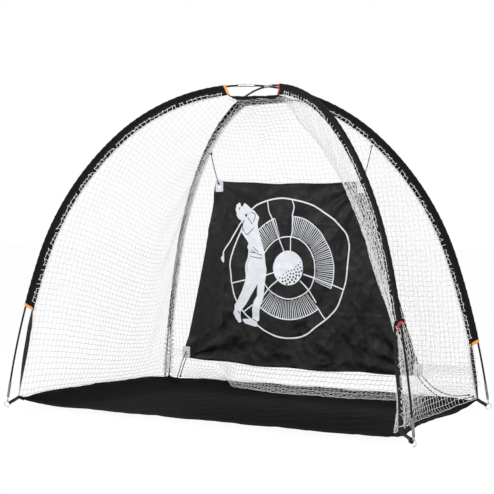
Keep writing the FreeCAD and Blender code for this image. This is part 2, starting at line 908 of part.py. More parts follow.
def cord(name, points):
    """Plain tube of the cord's diameter along its route."""
    route = [V(*point) for point in points]
    path, radii = rounded_path(route)
    section = Part.Wire([Part.Circle(route[0], route[1] - route[0],
                                     dim("cord_diameter") / 2).toShape()])
    tube = path.makePipeShell([section], True, False)
    expected = math.pi * (dim("cord_diameter") / 2) ** 2 * path.Length
    print(name, "length", round(path.Length, 1), "radii", [round(r, 1) for r in radii],
          "volume share", round(tube.Volume / expected, 4))
    feature = doc.addObject("Part::Feature", name)
    feature.Label = name
    feature.Shape = tube
    return feature


# Hanging cords: from the back sleeve's inner edge down to the front of the upper grommet.
HANG_ROUTE_LEFT = [
    (-413, 266, 1125), (-402, 268, 1079), (-385, 269, 1019), (-370, 268.5, 976)]
HANG_ROUTE_RIGHT = [
    (413, 266, 1134), (398, 269, 1076), (376, 270, 1008), (358, 268.5, 961)]

# Tie cords: from the floor's back corner up to the lower grommet, through it, and back down.
TIE_ROUTE_LEFT = [
    (-742, 466, 42), (-732, 454, 52), (-602, 304, 146), (-574, 266, 158), (-560, 263, 178),
    (-555.5, 266, 197), (-555.5, 282, 197), (-560, 289, 183), (-578, 303, 165), (-722, 464, 56),
    (-731, 475, 46)]
TIE_ROUTE_RIGHT = [
    (792, 482, 56), (768, 448, 48), (740, 408, 46), (708, 364, 54), (680, 324, 78),
    (656, 290, 112), (638, 268, 142), (629, 264, 162), (627.5, 266, 182), (627.5, 282, 182),
    (632, 288, 166), (648, 299, 142), (670, 324, 108), (700, 360, 80), (732, 400, 64),
    (764, 436, 62), (788, 466, 66)]


# ---------------------------------------------------------------- the whole object

nodes = []
for pole_name in ("a", "b"):
    nodes += pole_sections(pole_name)
    nodes.append(joining_ferrules(pole_name))
    nodes.append(shock_cord(pole_name))
for corner_name in LEGS:
    nodes.append(end_ferrule(corner_name))
    nodes.append(ground_pin(corner_name))
    nodes.append(ground_ring(corner_name))
    nodes.append(webbing_loop(corner_name))
    nodes.append(hem_strip(corner_name))
    nodes.append(sleeve(corner_name))
nodes.append(bindings("orange_sleeve_bindings", ("front_left", "back_right")))
nodes.append(bindings("red_sleeve_bindings", ("front_right", "back_left")))
nodes.append(crown_cloth())
nodes.append(floor_sheet())
nodes.append(net_wall("front_left", "back_left", "left"))
nodes.append(net_wall("back_left", "back_right", "back"))
nodes.append(net_wall("back_right", "front_right", "right"))
nodes.append(target_sheet())
nodes.append(corner_tabs())
nodes.append(grommets())
nodes.append(cord("hanging_cord_left", HANG_ROUTE_LEFT))
nodes.append(cord("hanging_cord_right", HANG_ROUTE_RIGHT))
nodes.append(cord("tie_cord_left", TIE_ROUTE_LEFT))
nodes.append(cord("tie_cord_right", TIE_ROUTE_RIGHT))

doc.recompute()
for item in doc.Objects:
    if "Invalid" in item.State or "Error" in item.State:
        raise SystemExit(f"{item.Label} failed: {item.State}")
os.makedirs("parts", exist_ok=True)
for node in nodes:
    if node.Shape.isNull() or not node.Shape.isValid():
        raise SystemExit(f"{node.Label} has no valid shape")
    node.Shape.exportStep(f"parts/{node.Label}.step")
for corner_name in LEGS:
    print("eye", corner_name, eye_centre(corner_name), "outward", outward(corner_name))
print("nodes", len(nodes), "pole tops", POLE_TOP, "depth", DEPTH)
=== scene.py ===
import math

import bmesh
import bpy
import numpy as np
from mathutils import Matrix, Vector, noise
from mathutils.geometry import tessellate_polygon


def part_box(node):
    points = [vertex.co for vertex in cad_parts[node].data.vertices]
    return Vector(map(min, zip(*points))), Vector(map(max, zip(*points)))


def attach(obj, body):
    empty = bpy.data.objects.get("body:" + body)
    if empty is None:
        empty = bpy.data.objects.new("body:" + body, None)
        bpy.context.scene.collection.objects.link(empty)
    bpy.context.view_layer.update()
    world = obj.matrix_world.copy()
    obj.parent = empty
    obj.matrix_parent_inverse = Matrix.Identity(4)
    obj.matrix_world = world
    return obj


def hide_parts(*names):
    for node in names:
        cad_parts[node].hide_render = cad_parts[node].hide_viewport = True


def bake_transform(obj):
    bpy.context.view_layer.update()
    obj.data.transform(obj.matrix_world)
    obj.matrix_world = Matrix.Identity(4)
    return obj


# Golf chipping net: two black poles bent over the diagonals of a cloth floor, cloth sleeves, three
# walls of white netting, a crown cloth and a printed target sheet that hangs from two cords.
# Metres, +X along the front edge, -Y is the open front, +Z up.

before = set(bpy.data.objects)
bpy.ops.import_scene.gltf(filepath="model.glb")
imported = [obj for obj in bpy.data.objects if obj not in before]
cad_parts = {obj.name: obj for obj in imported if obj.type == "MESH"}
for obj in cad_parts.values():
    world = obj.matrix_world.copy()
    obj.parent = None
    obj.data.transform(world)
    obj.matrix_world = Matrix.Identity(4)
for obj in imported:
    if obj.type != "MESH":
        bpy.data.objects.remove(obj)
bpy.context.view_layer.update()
scene = bpy.context.scene
UP = np.array([0.0, 0.0, 1.0])

# ---------------- camera

CAMERA_PLACE = (2.8837, -4.7919, 0.8109)
CAMERA_YAW, CAMERA_PITCH = 0.54996, -0.01966
FOCAL_LENGTH, SENSOR_WIDTH = 94.74, 36.0

camera_data = bpy.data.cameras.new("camera")
camera_data.lens, camera_data.sensor_width = FOCAL_LENGTH, SENSOR_WIDTH
camera_data.clip_end = 100.0
camera = bpy.data.objects.new("camera", camera_data)
camera.location = CAMERA_PLACE
camera.rotation_euler = (math.pi / 2 + CAMERA_PITCH, 0.0, CAMERA_YAW)
scene.collection.objects.link(camera)
scene.camera = camera

# ---------------- points and lines


def unit(vectors):
    return vectors / np.linalg.norm(vectors, axis=-1, keepdims=True)


def circle(turn):
    return np.stack([np.cos(turn), np.sin(turn)], axis=-1)


def mixed(first, second, share):
    """Points from the first to the second, at these shares of the way."""
    share = np.asarray(share)[..., None]
    return first * (1 - share) + second * share


def patch(low_left, low_right, top_left, top_right, u, v):
    """Points between four corners."""
    return mixed(mixed(low_left, low_right, u), mixed(top_left, top_right, u), v)


def runs_along(line):
    """Distance of each point of a line from its start."""
    return np.concatenate([[0], np.cumsum(np.linalg.norm(np.diff(line, axis=0), axis=1))])


def points_at(distances, line, runs):
    """Points of a line at these distances along it."""
    return np.stack([np.interp(distances, runs, axis) for axis in line.T], axis=-1)


def smooth_step(value):
    value = np.clip(value, 0, 1)
    return value * value * (3 - 2 * value)


def ripple(values, waves, seed):
    """Sum of sine waves over the given coordinates; each wave is (size, wavelengths)."""
    draw = np.random.default_rng(seed)
    total = 0.0
    for size, lengths in waves:
        phase = draw.uniform(0, 2 * math.pi)
        for value, length in zip(values, lengths):
            phase = phase + 2 * math.pi * value / (length * draw.uniform(0.85, 1.15))
        total = total + size * np.sin(phase)
    return total


def smooth_through(points, count):
    """Catmull-Rom line through a few points."""
    points = np.asarray(points, float)
    padded = np.vstack([2 * points[0] - points[1], points, 2 * points[-1] - points[-2]])
    spans = len(points) - 1
    line = []
    for k in range(count):
        at = k / (count - 1) * spans
        i = min(int(at), spans - 1)
        t = at - i
        a, b, c, d = padded[i:i + 4]
        line.append(0.5 * (2 * b + (c - a) * t + (2 * a - 5 * b + 4 * c - d) * t * t
                           + (3 * b - a - 3 * c + d) * t ** 3))
    return np.array(line)


# ---------------- meshes


def grid_faces(rows, columns, wrap=False):
    """Quads of a grid of vertices, row by row; wrap joins the last column to the first."""
    across = columns if wrap else columns - 1
    i, j = np.meshgrid(np.arange(rows - 1), np.arange(across), indexing="ij")
    i, j = i.ravel(), j.ravel()
    after = (j + 1) % columns
    return np.stack([i * columns + j, i * columns + after,
                     (i + 1) * columns + after, (i + 1) * columns + j], axis=1)


def build_mesh(name, points, quads, uv=None):
    """Mesh from vertices and quads, with UVs in metres where they are given."""
    mesh = bpy.data.meshes.new(name)
    points = np.asarray(points, np.float32).reshape(-1, 3)
    quads = np.asarray(quads, np.int32).reshape(-1, 4)
    mesh.vertices.add(len(points))
    mesh.vertices.foreach_set("co", points.ravel())
    mesh.loops.add(quads.size)
    mesh.loops.foreach_set("vertex_index", quads.ravel())
    mesh.polygons.add(len(quads))
    mesh.polygons.foreach_set("loop_start", np.arange(0, quads.size, 4, dtype=np.int32))
    if uv is not None:
        layer = mesh.uv_layers.new(name="cloth")
        layer.data.foreach_set("uv", np.asarray(uv, np.float32)[quads.ravel()].ravel())
    mesh.update(calc_edges=True)
    mesh.validate()
    return mesh


def place(name, mesh, material, body, smooth=True, replaces=()):
    """Put a mesh in the scene as a named piece that rides on a body."""
    piece = bpy.data.objects.new(name, mesh)
    scene.collection.objects.link(piece)
    mesh.materials.append(material)
    mesh.polygons.foreach_set("use_smooth", [smooth] * len(mesh.polygons))
    if body:
        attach(piece, body)
    if replaces:
        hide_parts(*replaces)
    return piece


class Strands:
    """Collects round strands that follow polylines, for one mesh."""

    def __init__(self, sides=4):
        self.sides = sides
        self.points, self.quads, self.count = [], [], 0

    def add(self, line, radius, closed=False):
        line = np.asarray(line, float)
        if len(line) < 2:
            return
        ahead, behind = np.roll(line, -1, axis=0) - line, line - np.roll(line, 1, axis=0)
        tangent = ahead + behind
        if not closed:
            tangent[0], tangent[-1] = ahead[0], behind[-1]
        tangent /= np.maximum(np.linalg.norm(tangent, axis=1, keepdims=True), 1e-9)
        reference = np.where(np.abs(tangent[:, 2:3]) > 0.9, np.array([[1.0, 0.2, 0.0]]), UP)
        first = unit(np.cross(tangent, reference))
        for k in range(1, len(first)):
            if first[k] @ first[k - 1] < 0:
                first[k] = -first[k]
        second = np.cross(tangent, first)
        turn = np.arange(self.sides) * 2 * math.pi / self.sides
        ring = first[:, None] * np.cos(turn)[:, None] + second[:, None] * np.sin(turn)[:, None]
        radius = np.broadcast_to(np.asarray(radius, float), (len(line),))
        rings = line[:, None] + ring * radius[:, None, None]
        quads = grid_faces(len(line), self.sides, wrap=True)
        if closed:
            last, j = (len(line) - 1) * self.sides, np.arange(self.sides)
            after = (j + 1) % self.sides
            quads = np.vstack([quads, np.stack([last + j, last + after, after, j], axis=1)])
        self.points.append(rings.reshape(-1, 3))
        self.quads.append(quads + self.count)
        self.count += len(line) * self.sides

    def knot(self, centre, size):
        """A small eight-sided lump."""
        points = np.array([[1, 0, 0], [0, 1, 0], [-1, 0, 0], [0, -1, 0], [0, 0, 0.9], [0, 0, -0.9]])
        faces = np.array([(0, 1, 2, 4), (2, 1, 0, 5), (2, 3, 0, 4), (0, 3, 2, 5)])
        self.points.append(np.asarray(centre) + points * size)
        self.quads.append(faces + self.count)
        self.count += len(points)

    def mesh(self, name):
        return build_mesh(name, np.vstack(self.points), np.vstack(self.quads))


# ---------------- materials

def put(socket, value):
    """Link another node's output to a socket, or set the socket's own value."""
    if isinstance(value, bpy.types.NodeSocket):
        socket.id_data.links.new(value, socket)
    else:
        socket.default_value = value


def feed(node, **inputs):
    for label, value in inputs.items():
        put(node.inputs[label.replace("_", " ")], value)


def new_material(name, colour, roughness, **inputs):
    made = bpy.data.materials.new(name)
    made.use_nodes = True
    shader = made.node_tree.nodes["Principled BSDF"]
    feed(shader, Base_Color=(*colour, 1.0), Roughness=roughness, **inputs)
    return made, made.node_tree, shader


def add_node(tree, kind, settings=None, **inputs):
    made = tree.nodes.new("ShaderNode" + kind)
    for key, value in (settings or {}).items():
        setattr(made, key, value)
    feed(made, **inputs)
    return made


def calculate(tree, operation, *values):
    made = add_node(tree, "Math", {"operation": operation})
    for socket, value in zip(made.inputs, values):
        put(socket, value)
    return made.outputs["Value"]


def coordinates(tree, source, scale=(1, 1, 1)):
    """Texture coordinates in metres times a scale."""
    start = add_node(tree, "TexCoord").outputs[source]
    return add_node(tree, "Mapping", Vector=start, Scale=scale).outputs["Vector"]


def speckle(tree, vector, scale, detail, **inputs):
    return add_node(tree, "TexNoise", Vector=vector, Scale=scale, Detail=detail,
                    **inputs).outputs["Fac"]


def ramp(tree, value, dark, light, low=0.0, high=1.0):
    """Colour that goes from dark to light as a value goes from low to high."""
    made = add_node(tree, "ValToRGB", Fac=value)
    for stop, place_at, colour in zip(made.color_ramp.elements, (low, high), (dark, light)):
        stop.position = place_at
        stop.color = (*colour, 1.0)
    return made.outputs["Color"]


def mottled(tree, shader, vector, dark, light, scale, roughness):
    """Colour and roughness that drift with soft noise."""
    spots = speckle(tree, vector, scale, 5.0, Roughness=0.62)
    spread = add_node(tree, "MapRange", Value=spots, To_Min=roughness[0], To_Max=roughness[1])
    feed(shader, Roughness=spread.outputs["Result"])
    return ramp(tree, spots, dark, light, 0.32, 0.70)


def thread_wave(tree, vector, direction, scale, distortion, **inputs):
    return add_node(tree, "TexWave", {"bands_direction": direction}, Vector=vector, Scale=scale,
                    Distortion=distortion, Detail=1.0, **inputs).outputs["Fac"]


def bump(tree, shader, height, strength, distance):
    made = add_node(tree, "Bump", Strength=strength, Distance=distance, Height=height)
    feed(shader, Normal=made.outputs["Normal"])


WAVE_TURN = 2 * math.pi / 20


def cloth_material(name, dark, light, thread, sheen=0.3, roughness=(0.62, 0.85), grain=26.0,
                   depth=0.0004, specular=0.2, threads_show=0.25):
    """Woven cloth: plain weave of threads this far apart, drifting shade, soft sheen and fuzz."""
    made, tree, shader = new_material(name, light, roughness[0], Specular_IOR_Level=specular,
                                      Sheen_Weight=sheen, Sheen_Roughness=0.45)
    vector = coordinates(tree, "UV")
    drift = mottled(tree, shader, vector, dark, light, grain, roughness)
    weave = calculate(tree, "MULTIPLY", *[
        thread_wave(tree, vector, direction, WAVE_TURN / thread / 2, 0.35, Detail_Scale=0.4)
        for direction in "XY"])
    shade = add_node(tree, "Mix", {"data_type": "RGBA", "blend_type": "MULTIPLY"},
                     Factor=threads_show, A=drift, B=ramp(tree, weave, (0.45,) * 3, (1.0,) * 3))
    feed(shader, Base_Color=shade.outputs["Result"])
    fuzz = speckle(tree, vector, 900.0, 2.0)
    bump(tree, shader, calculate(tree, "MULTIPLY_ADD", fuzz, 0.3, weave), 0.55, depth)
    return made


def cord_material(name, dark, light, strand):
    """Twisted or braided cord, with slanted strands in its bump."""
    made, tree, shader = new_material(name, light, 0.7, Specular_IOR_Level=0.25, Sheen_Weight=0.25)
    vector = coordinates(tree, "Object")
    feed(shader, Base_Color=mottled(tree, shader, vector, dark, light, 90.0, (0.6, 0.85)))
    twist = thread_wave(tree, vector, "DIAGONAL", WAVE_TURN / strand, 1.2)
    bump(tree, shader, twist, 0.5, 0.0003)
    return made


def metal_material(name, dark, light, roughness):
    """Metal with fine scratches and a drifting polish."""
    made, tree, shader = new_material(name, light, roughness[0], Metallic=1.0)
    vector = coordinates(tree, "Object")
    feed(shader, Base_Color=mottled(tree, shader, vector, dark, light, 60.0, roughness))
    bump(tree, shader, speckle(tree, vector, 700.0, 3.0), 0.12, 0.0002)
    return made


def pole_material():
    """Black pultruded glass fibre: glossy, with faint lengthwise fibres under the resin."""
    made, tree, shader = new_material("pole_resin", (0.006, 0.006, 0.007), 0.3, Coat_Weight=0.06,
                                      Specular_IOR_Level=0.22, Coat_Roughness=0.12)
    vector = coordinates(tree, "Object", (1, 1, 0.12))
    feed(shader, Base_Color=mottled(tree, shader, vector, (0.003, 0.003, 0.0035),
                                    (0.010, 0.010, 0.012), 240.0, (0.24, 0.42)))
    bump(tree, shader, speckle(tree, vector, 1500.0, 2.0), 0.1, 0.0001)
    return made


SLEEVE_CLOTH = cloth_material("sleeve_cloth", (0.0045, 0.0045, 0.0052), (0.0095, 0.0095, 0.0110),
                              0.0011, sheen=0.02, specular=0.1)
FLOOR_CLOTH = cloth_material("floor_cloth", (0.0026, 0.0026, 0.0031), (0.0066, 0.0066, 0.0078),
                             0.0012, sheen=0.0, roughness=(0.55, 0.8), grain=7.0, specular=0.03)
TARGET_CLOTH = cloth_material("target_cloth", (0.0012, 0.0012, 0.0011), (0.0090, 0.0090, 0.0086),
                              0.0010, sheen=0.0, grain=22.0, roughness=(0.27, 0.38))
PRINT_INK = cloth_material("print_ink", (0.67, 0.70, 0.75), (0.78, 0.80, 0.84), 0.0010,
                           sheen=0.0, grain=40.0, threads_show=0.12)
PRINT_LINE = cloth_material("print_line", (0.022, 0.022, 0.027), (0.045, 0.047, 0.052), 0.0010,
                            sheen=0.0, grain=60.0)
TAB_CLOTH = cloth_material("tab_cloth", (0.60, 0.59, 0.68), (0.74, 0.73, 0.80), 0.0014,
                           sheen=0.1, grain=60.0, threads_show=0.2)
ORANGE_TAPE = cloth_material("orange_tape", (0.80, 0.30, 0.07), (0.95, 0.44, 0.14), 0.0013,
                             sheen=0.2, grain=70.0)
RED_TAPE = cloth_material("red_tape", (0.44, 0.020, 0.035), (0.62, 0.045, 0.060), 0.0013,
                          sheen=0.2, grain=70.0)
WEBBING = cloth_material("webbing", (0.009, 0.009, 0.010), (0.020, 0.020, 0.022), 0.0019,
                         sheen=0.12, depth=0.0009, grain=90.0)
NET_TWINE = cord_material("net_twine", (0.74, 0.74, 0.735), (0.87, 0.87, 0.86), 0.0012)
BLACK_CORD = cord_material("black_cord", (0.010, 0.010, 0.010), (0.024, 0.024, 0.025), 0.0016)
THREAD = cord_material("sewing_thread", (0.02, 0.02, 0.02), (0.045, 0.045, 0.047), 0.0006)
PALE_THREAD = cord_material("pale_thread", (0.62, 0.62, 0.64), (0.8, 0.8, 0.8), 0.0006)
POLE_RESIN = pole_material()
FERRULE_METAL = metal_material("ferrule_metal", (0.46, 0.47, 0.48), (0.64, 0.65, 0.66),
                               (0.28, 0.42))
TIP_METAL = metal_material("tip_metal", (0.17, 0.175, 0.175), (0.32, 0.325, 0.325), (0.34, 0.50))
PIN_METAL = metal_material("pin_metal", (0.35, 0.35, 0.36), (0.55, 0.55, 0.55), (0.3, 0.45))
RING_METAL = metal_material("ring_metal", (0.50, 0.50, 0.49), (0.72, 0.72, 0.70), (0.16, 0.30))
GROMMET_METAL = metal_material("grommet_metal", (0.55, 0.55, 0.56), (0.75, 0.75, 0.75),
                               (0.2, 0.35))

# ---------------- the poles' centre lines

FRONT_WIDTH, BACK_WIDTH = 1.925, 1.697
SECTION = 0.625
TURNS = [math.radians(turn) for turn in (43, 29, 10)]
POLE_END_HEIGHT, CROSSING_GAP = 0.0355, 0.009
POLE_SIDE = {"a": 1, "b": -1}
LEGS = {"front_left": ("a", -1), "back_right": ("a", 1),
        "front_right": ("b", -1), "back_left": ("b", 1)}
SLEEVE_END = {-1: 0.408, 1: 0.252}
SLEEVE_TOP = {-1: 0.090, 1: 0.230}


def build_arcs():
    arcs, across, height, angle = [], 0.0, 0.0, 0.0
    for turn in TURNS:
        radius = SECTION / turn
        centre = (across - radius * math.sin(angle), height - radius * math.cos(angle))
        arcs.append((radius, centre[0], centre[1], angle))
        angle += turn
        across = centre[0] + radius * math.sin(angle)
        height = centre[1] + radius * math.cos(angle)
    return arcs, across, height


ARCS, HALF_SPAN, POLE_FALL = build_arcs()
HALF_LENGTH = 3 * SECTION
MEAN_WIDTH = (FRONT_WIDTH + BACK_WIDTH) / 2
DEPTH = math.sqrt((2 * HALF_SPAN) ** 2 - MEAN_WIDTH ** 2)
POLE_TOP = {"a": POLE_END_HEIGHT + CROSSING_GAP - POLE_FALL, "b": POLE_END_HEIGHT - POLE_FALL}


def pole_direction(pole):
    return np.array([POLE_SIDE[pole] * MEAN_WIDTH, DEPTH, 0.0]) / (2 * HALF_SPAN)


def pole_normal(pole):
    return np.cross(UP, pole_direction(pole))


def pole_place(distance):
    """Across, height and angle in the pole's plane, at a signed distance from its middle."""
    side, reach = (-1 if distance < 0 else 1), abs(distance)
    index = min(int(reach // SECTION), 2)
    radius, across, height, first = ARCS[index]
    angle = first + (min(reach, HALF_LENGTH) - index * SECTION) / radius
    straight = max(reach - HALF_LENGTH, 0.0)
    across += radius * math.sin(angle) + straight * math.cos(angle)
    height += radius * math.cos(angle) - straight * math.sin(angle)
    return side * across, height, side * angle


def leg_frame(corner, from_end):
    """Pole centre, inward, sideways and downward directions, this far up from the pole's end."""
    pole, side = LEGS[corner]
    across, height, angle = pole_place(side * (HALF_LENGTH - from_end))
    direction = pole_direction(pole)
    middle = np.array([-POLE_SIDE[pole] * (FRONT_WIDTH - BACK_WIDTH) / 4, 0.0, POLE_TOP[pole]])
    centre = middle + direction * across + UP * height
    inward = -(direction * math.sin(angle) + UP * math.cos(angle))
    downward = side * (direction * math.cos(angle) - UP * math.sin(angle))
    return centre, inward, pole_normal(pole), downward


def beside_pole(corner, from_end, inset, aside=0.0):
    """Point this far inward from the pole and to its side."""
    centre, inward, normal, _ = leg_frame(corner, from_end)
    return centre + inward * inset + normal * aside


def outward(corner):
    pole, side = LEGS[corner]
    return pole_direction(pole) * side


def sleeve_bottom(corner):
    return SLEEVE_END[LEGS[corner][1]]


def sleeve_top(corner):
    return HALF_LENGTH - SLEEVE_TOP[LEGS[corner][1]]


# ---------------- cords

CORD_DIAMETER = 0.004
HANG_LEFT = [
    (-0.413, 0.266, 1.125), (-0.402, 0.268, 1.079), (-0.385, 0.269, 1.019),
    (-0.370, 0.2685, 0.976)]
HANG_RIGHT = [
    (0.413, 0.266, 1.134), (0.398, 0.269, 1.076), (0.376, 0.270, 1.008), (0.358, 0.2685, 0.961)]
TIE_LEFT = [
    (-0.742, 0.466, 0.042), (-0.732, 0.454, 0.052), (-0.602, 0.304, 0.146),
    (-0.574, 0.266, 0.158), (-0.560, 0.263, 0.178), (-0.5555, 0.266, 0.197),
    (-0.5555, 0.282, 0.197), (-0.560, 0.289, 0.183), (-0.578, 0.303, 0.165),
    (-0.722, 0.464, 0.056), (-0.731, 0.475, 0.046)]
TIE_RIGHT = [
    (0.792, 0.482, 0.056), (0.768, 0.448, 0.048), (0.740, 0.408, 0.046), (0.708, 0.364, 0.054),
    (0.680, 0.324, 0.078), (0.656, 0.290, 0.112), (0.638, 0.268, 0.142), (0.629, 0.264, 0.162),
    (0.6275, 0.266, 0.182), (0.6275, 0.282, 0.182), (0.632, 0.288, 0.166), (0.648, 0.299, 0.142),
    (0.670, 0.324, 0.108), (0.700, 0.360, 0.080), (0.732, 0.400, 0.064), (0.764, 0.436, 0.062),
    (0.788, 0.466, 0.066)]


def smooth_line(route):
    """Points read from the NURBS spline that has the route as its control points."""
    curve = bpy.data.curves.new("route", "CURVE")
    curve.dimensions = "3D"
    spline = curve.splines.new("NURBS")
    spline.points.add(len(route) - 1)
    for point, place_at in zip(spline.points, route):
        point.co = (*place_at, 1.0)
    spline.order_u = 3
    spline.use_endpoint_u = True
    spline.resolution_u = 12
    carrier = bpy.data.objects.new("route", curve)
    scene.collection.objects.link(carrier)
    bpy.context.view_layer.update()
    read = bpy.data.meshes.new_from_object(carrier)
    line = np.array([vertex.co[:] for vertex in read.vertices])
    bpy.data.objects.remove(carrier)
    bpy.data.meshes.remove(read)
    bpy.data.curves.remove(curve)
    return line


def twisted_cord(name, line, plies=3, pitch=0.016, sides=12):
    """Cord of twisted plies along a line: the mesh, and the centres of its rings."""
    runs = runs_along(line)
    at = np.linspace(0, runs[-1], max(int(runs[-1] / 0.0018), 8))
    core = points_at(at, line, runs)
    tangent = unit(np.gradient(core, axis=0))
    first = unit(np.cross(tangent, np.array([0.3, 1.0, 0.1])))
    second = np.cross(tangent, first)
    around = np.arange(sides) * 2 * math.pi / sides
    twist = plies * (around[None, :] - at[:, None] / pitch * 2 * math.pi / plies)
    radius = CORD_DIAMETER / 2 * (0.99 + 0.07 * np.cos(twist))
    rings = (core[:, None] + first[:, None] * (radius * np.cos(around))[:, :, None]
             + second[:, None] * (radius * np.sin(around))[:, :, None])
    return build_mesh(name, rings, grid_faces(len(core), sides, wrap=True)), core


def tied_knot(centre, size):
    """A small overhand knot: two crossed loops of the cord."""
    strands = Strands(sides=6)
    turn = np.linspace(0, 2 * math.pi, 22, endpoint=False)
    for k in range(2):
        loop = np.stack([np.cos(turn), np.sin(turn) * 0.6, 0.55 * np.sin(2 * turn + k)], axis=1)
        spin = np.array(Matrix.Rotation(1.1 + 1.9 * k, 3, Vector((0.4, 0.3 + k, 0.8))))
        strands.add(centre + loop @ spin.T * size, CORD_DIAMETER * 0.42, closed=True)
    return strands.mesh("knot")


CORDS = {
    "hanging_cord_left": (HANG_LEFT, "taut", [(0, 0.0058), (0.93, 0.0034)]),
    "hanging_cord_right": (HANG_RIGHT, "taut", [(0, 0.0045), (0.95, 0.0034)]),
    "tie_cord_left": (TIE_LEFT, "taut", [(0.0, 0.0045), (0.985, 0.0045)]),
    "tie_cord_right": (TIE_RIGHT, "loose", [(0.0, 0.0045), (0.985, 0.0045)]),
}
for cord_name, (route, lay, knots) in CORDS.items():
    cord_mesh, core = twisted_cord(cord_name, smooth_line(route))
    hangs = cord_name.startswith("hanging")
    knot_pieces = [
        place(f"{cord_name}_knot_{index + 1}", tied_knot(core[int(share * (len(core) - 1))], size),
              BLACK_CORD, "target_panel" if hangs else "frame")
        for index, (share, size) in enumerate(knots)]
    cord_piece = place(cord_name + "_look", cord_mesh, BLACK_CORD,
                       "target_panel" if hangs else None, replaces=(cord_name,))
    if not hangs:
        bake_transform(cord_piece)
    round(float(runs_along(core)[-1]), 3)

# ---------------- sleeves, bindings and webbing

TUNNEL_RADIUS, CLOTH_HALF = 0.0067, 0.0009
SEAM_DEPTH, FLANGE_DEPTH = 0.017, 0.039
LOW_BINDING, TOP_BINDING = 0.0125, 0.0110
LOW_SLANT, TOP_SLANT, SLANT_FADE = -0.35, 0.33, 0.07
MESH_PITCH = 0.022
STITCH_LENGTH, STITCH_GAP = 0.0036, 0.0014
SLEEVE_WRINKLES = [(0.00045, (0.037, 0.05)), (0.00030, (0.017, -0.031)), (0.00022, (0.0095, 0.02))]
FLANGE_WAVES = [(0.0011, (0.061,)), (0.0008, (0.034,)), (0.0006, (0.13,))]


def section_outline():
    """Closed outline of a sleeve: inward and sideways from the pole's centre."""
    contact = math.acos(TUNNEL_RADIUS / SEAM_DEPTH)
    flange = np.linspace(FLANGE_DEPTH, SEAM_DEPTH, 6)
    arc = TUNNEL_RADIUS * circle(np.linspace(contact, 2 * math.pi - contact, 19))
    top = np.stack([flange, np.full(6, CLOTH_HALF)], axis=1)
    return np.vstack([top, arc, top[::-1] * (1, -1)])


def flange_share(depth):
    """0 at the seam beside the pole, 1 at the flange's free edge."""
    return np.clip((depth - SEAM_DEPTH) / (FLANGE_DEPTH - SEAM_DEPTH), 0, 1)


OUTLINE = section_outline()
OUTLINE_AHEAD = np.roll(OUTLINE, -1, axis=0) - np.roll(OUTLINE, 1, axis=0)
OUTLINE_NORMAL = -unit(np.stack([-OUTLINE_AHEAD[:, 1], OUTLINE_AHEAD[:, 0]], axis=1))
OUTLINE_RUN = runs_along(OUTLINE)
OUTLINE_SHARE = flange_share(OUTLINE[:, 0])


def corner_number(corner):
    return sorted(LEGS).index(corner)


def flange_wave(corner, along, share):
    """How far the flange's cloth stands sideways: it ripples more towards its free edge."""
    return share ** 1.5 * ripple((along,), FLANGE_WAVES, corner_number(corner) * 7 + 3)


def tube_along_pole(name, corner, stations, offsets, slants, wrinkle=1.0, seed=0):
    """Cloth round the pole: rings at distances from the pole's end, each moved out by an offset."""
    rows, uv = [], []
    for station, offset, slant in zip(stations, offsets, slants):
        centre, inward, normal, downward = leg_frame(corner, station)
        here = np.full(len(OUTLINE), station)
        out = offset + wrinkle * ripple((here, OUTLINE_RUN), SLEEVE_WRINKLES, seed)
        x, y = (OUTLINE + OUTLINE_NORMAL * out[:, None]).T
        x = x - OUTLINE_SHARE ** 3 * 0.0008 * (1 - math.cos(2 * math.pi * station / MESH_PITCH))
        on_flat = np.abs(OUTLINE[:, 1]) <= CLOTH_HALF * 1.01
        y = np.where(on_flat, np.sign(OUTLINE[:, 1]) * np.maximum(np.abs(y), 0.0004), y)
        y = y + flange_wave(corner, station, OUTLINE_SHARE)
        lean = slant * (OUTLINE[:, 0] + TUNNEL_RADIUS)
        rows.append(centre + inward * x[:, None] + normal * y[:, None] - downward * lean[:, None])
        uv.append(np.stack([OUTLINE_RUN, here], axis=1))
    return build_mesh(name, np.vstack(rows), grid_faces(len(rows), len(OUTLINE), wrap=True),
                      np.vstack(uv))


def stitch_row(strands, place_at, start, end, radius=0.00035):
    """Stitches along a line; place_at gives the point at a distance."""
    step = STITCH_LENGTH + STITCH_GAP
    for k in range(int((end - start) / step)):
        first = start + k * step
        strands.add([place_at(first), place_at(first + STITCH_LENGTH / 2, 0.0002),
                     place_at(first + STITCH_LENGTH)], radius)


def on_flange(corner, face, depth, lift=0.0013):
    """Gives points on one face of a sleeve's flange at this depth from the pole."""
    def place_at(station, extra=0.0):
        wave = flange_wave(corner, station, flange_share(depth))
        return beside_pole(corner, station, depth, face * (lift + extra) + wave)
    return place_at


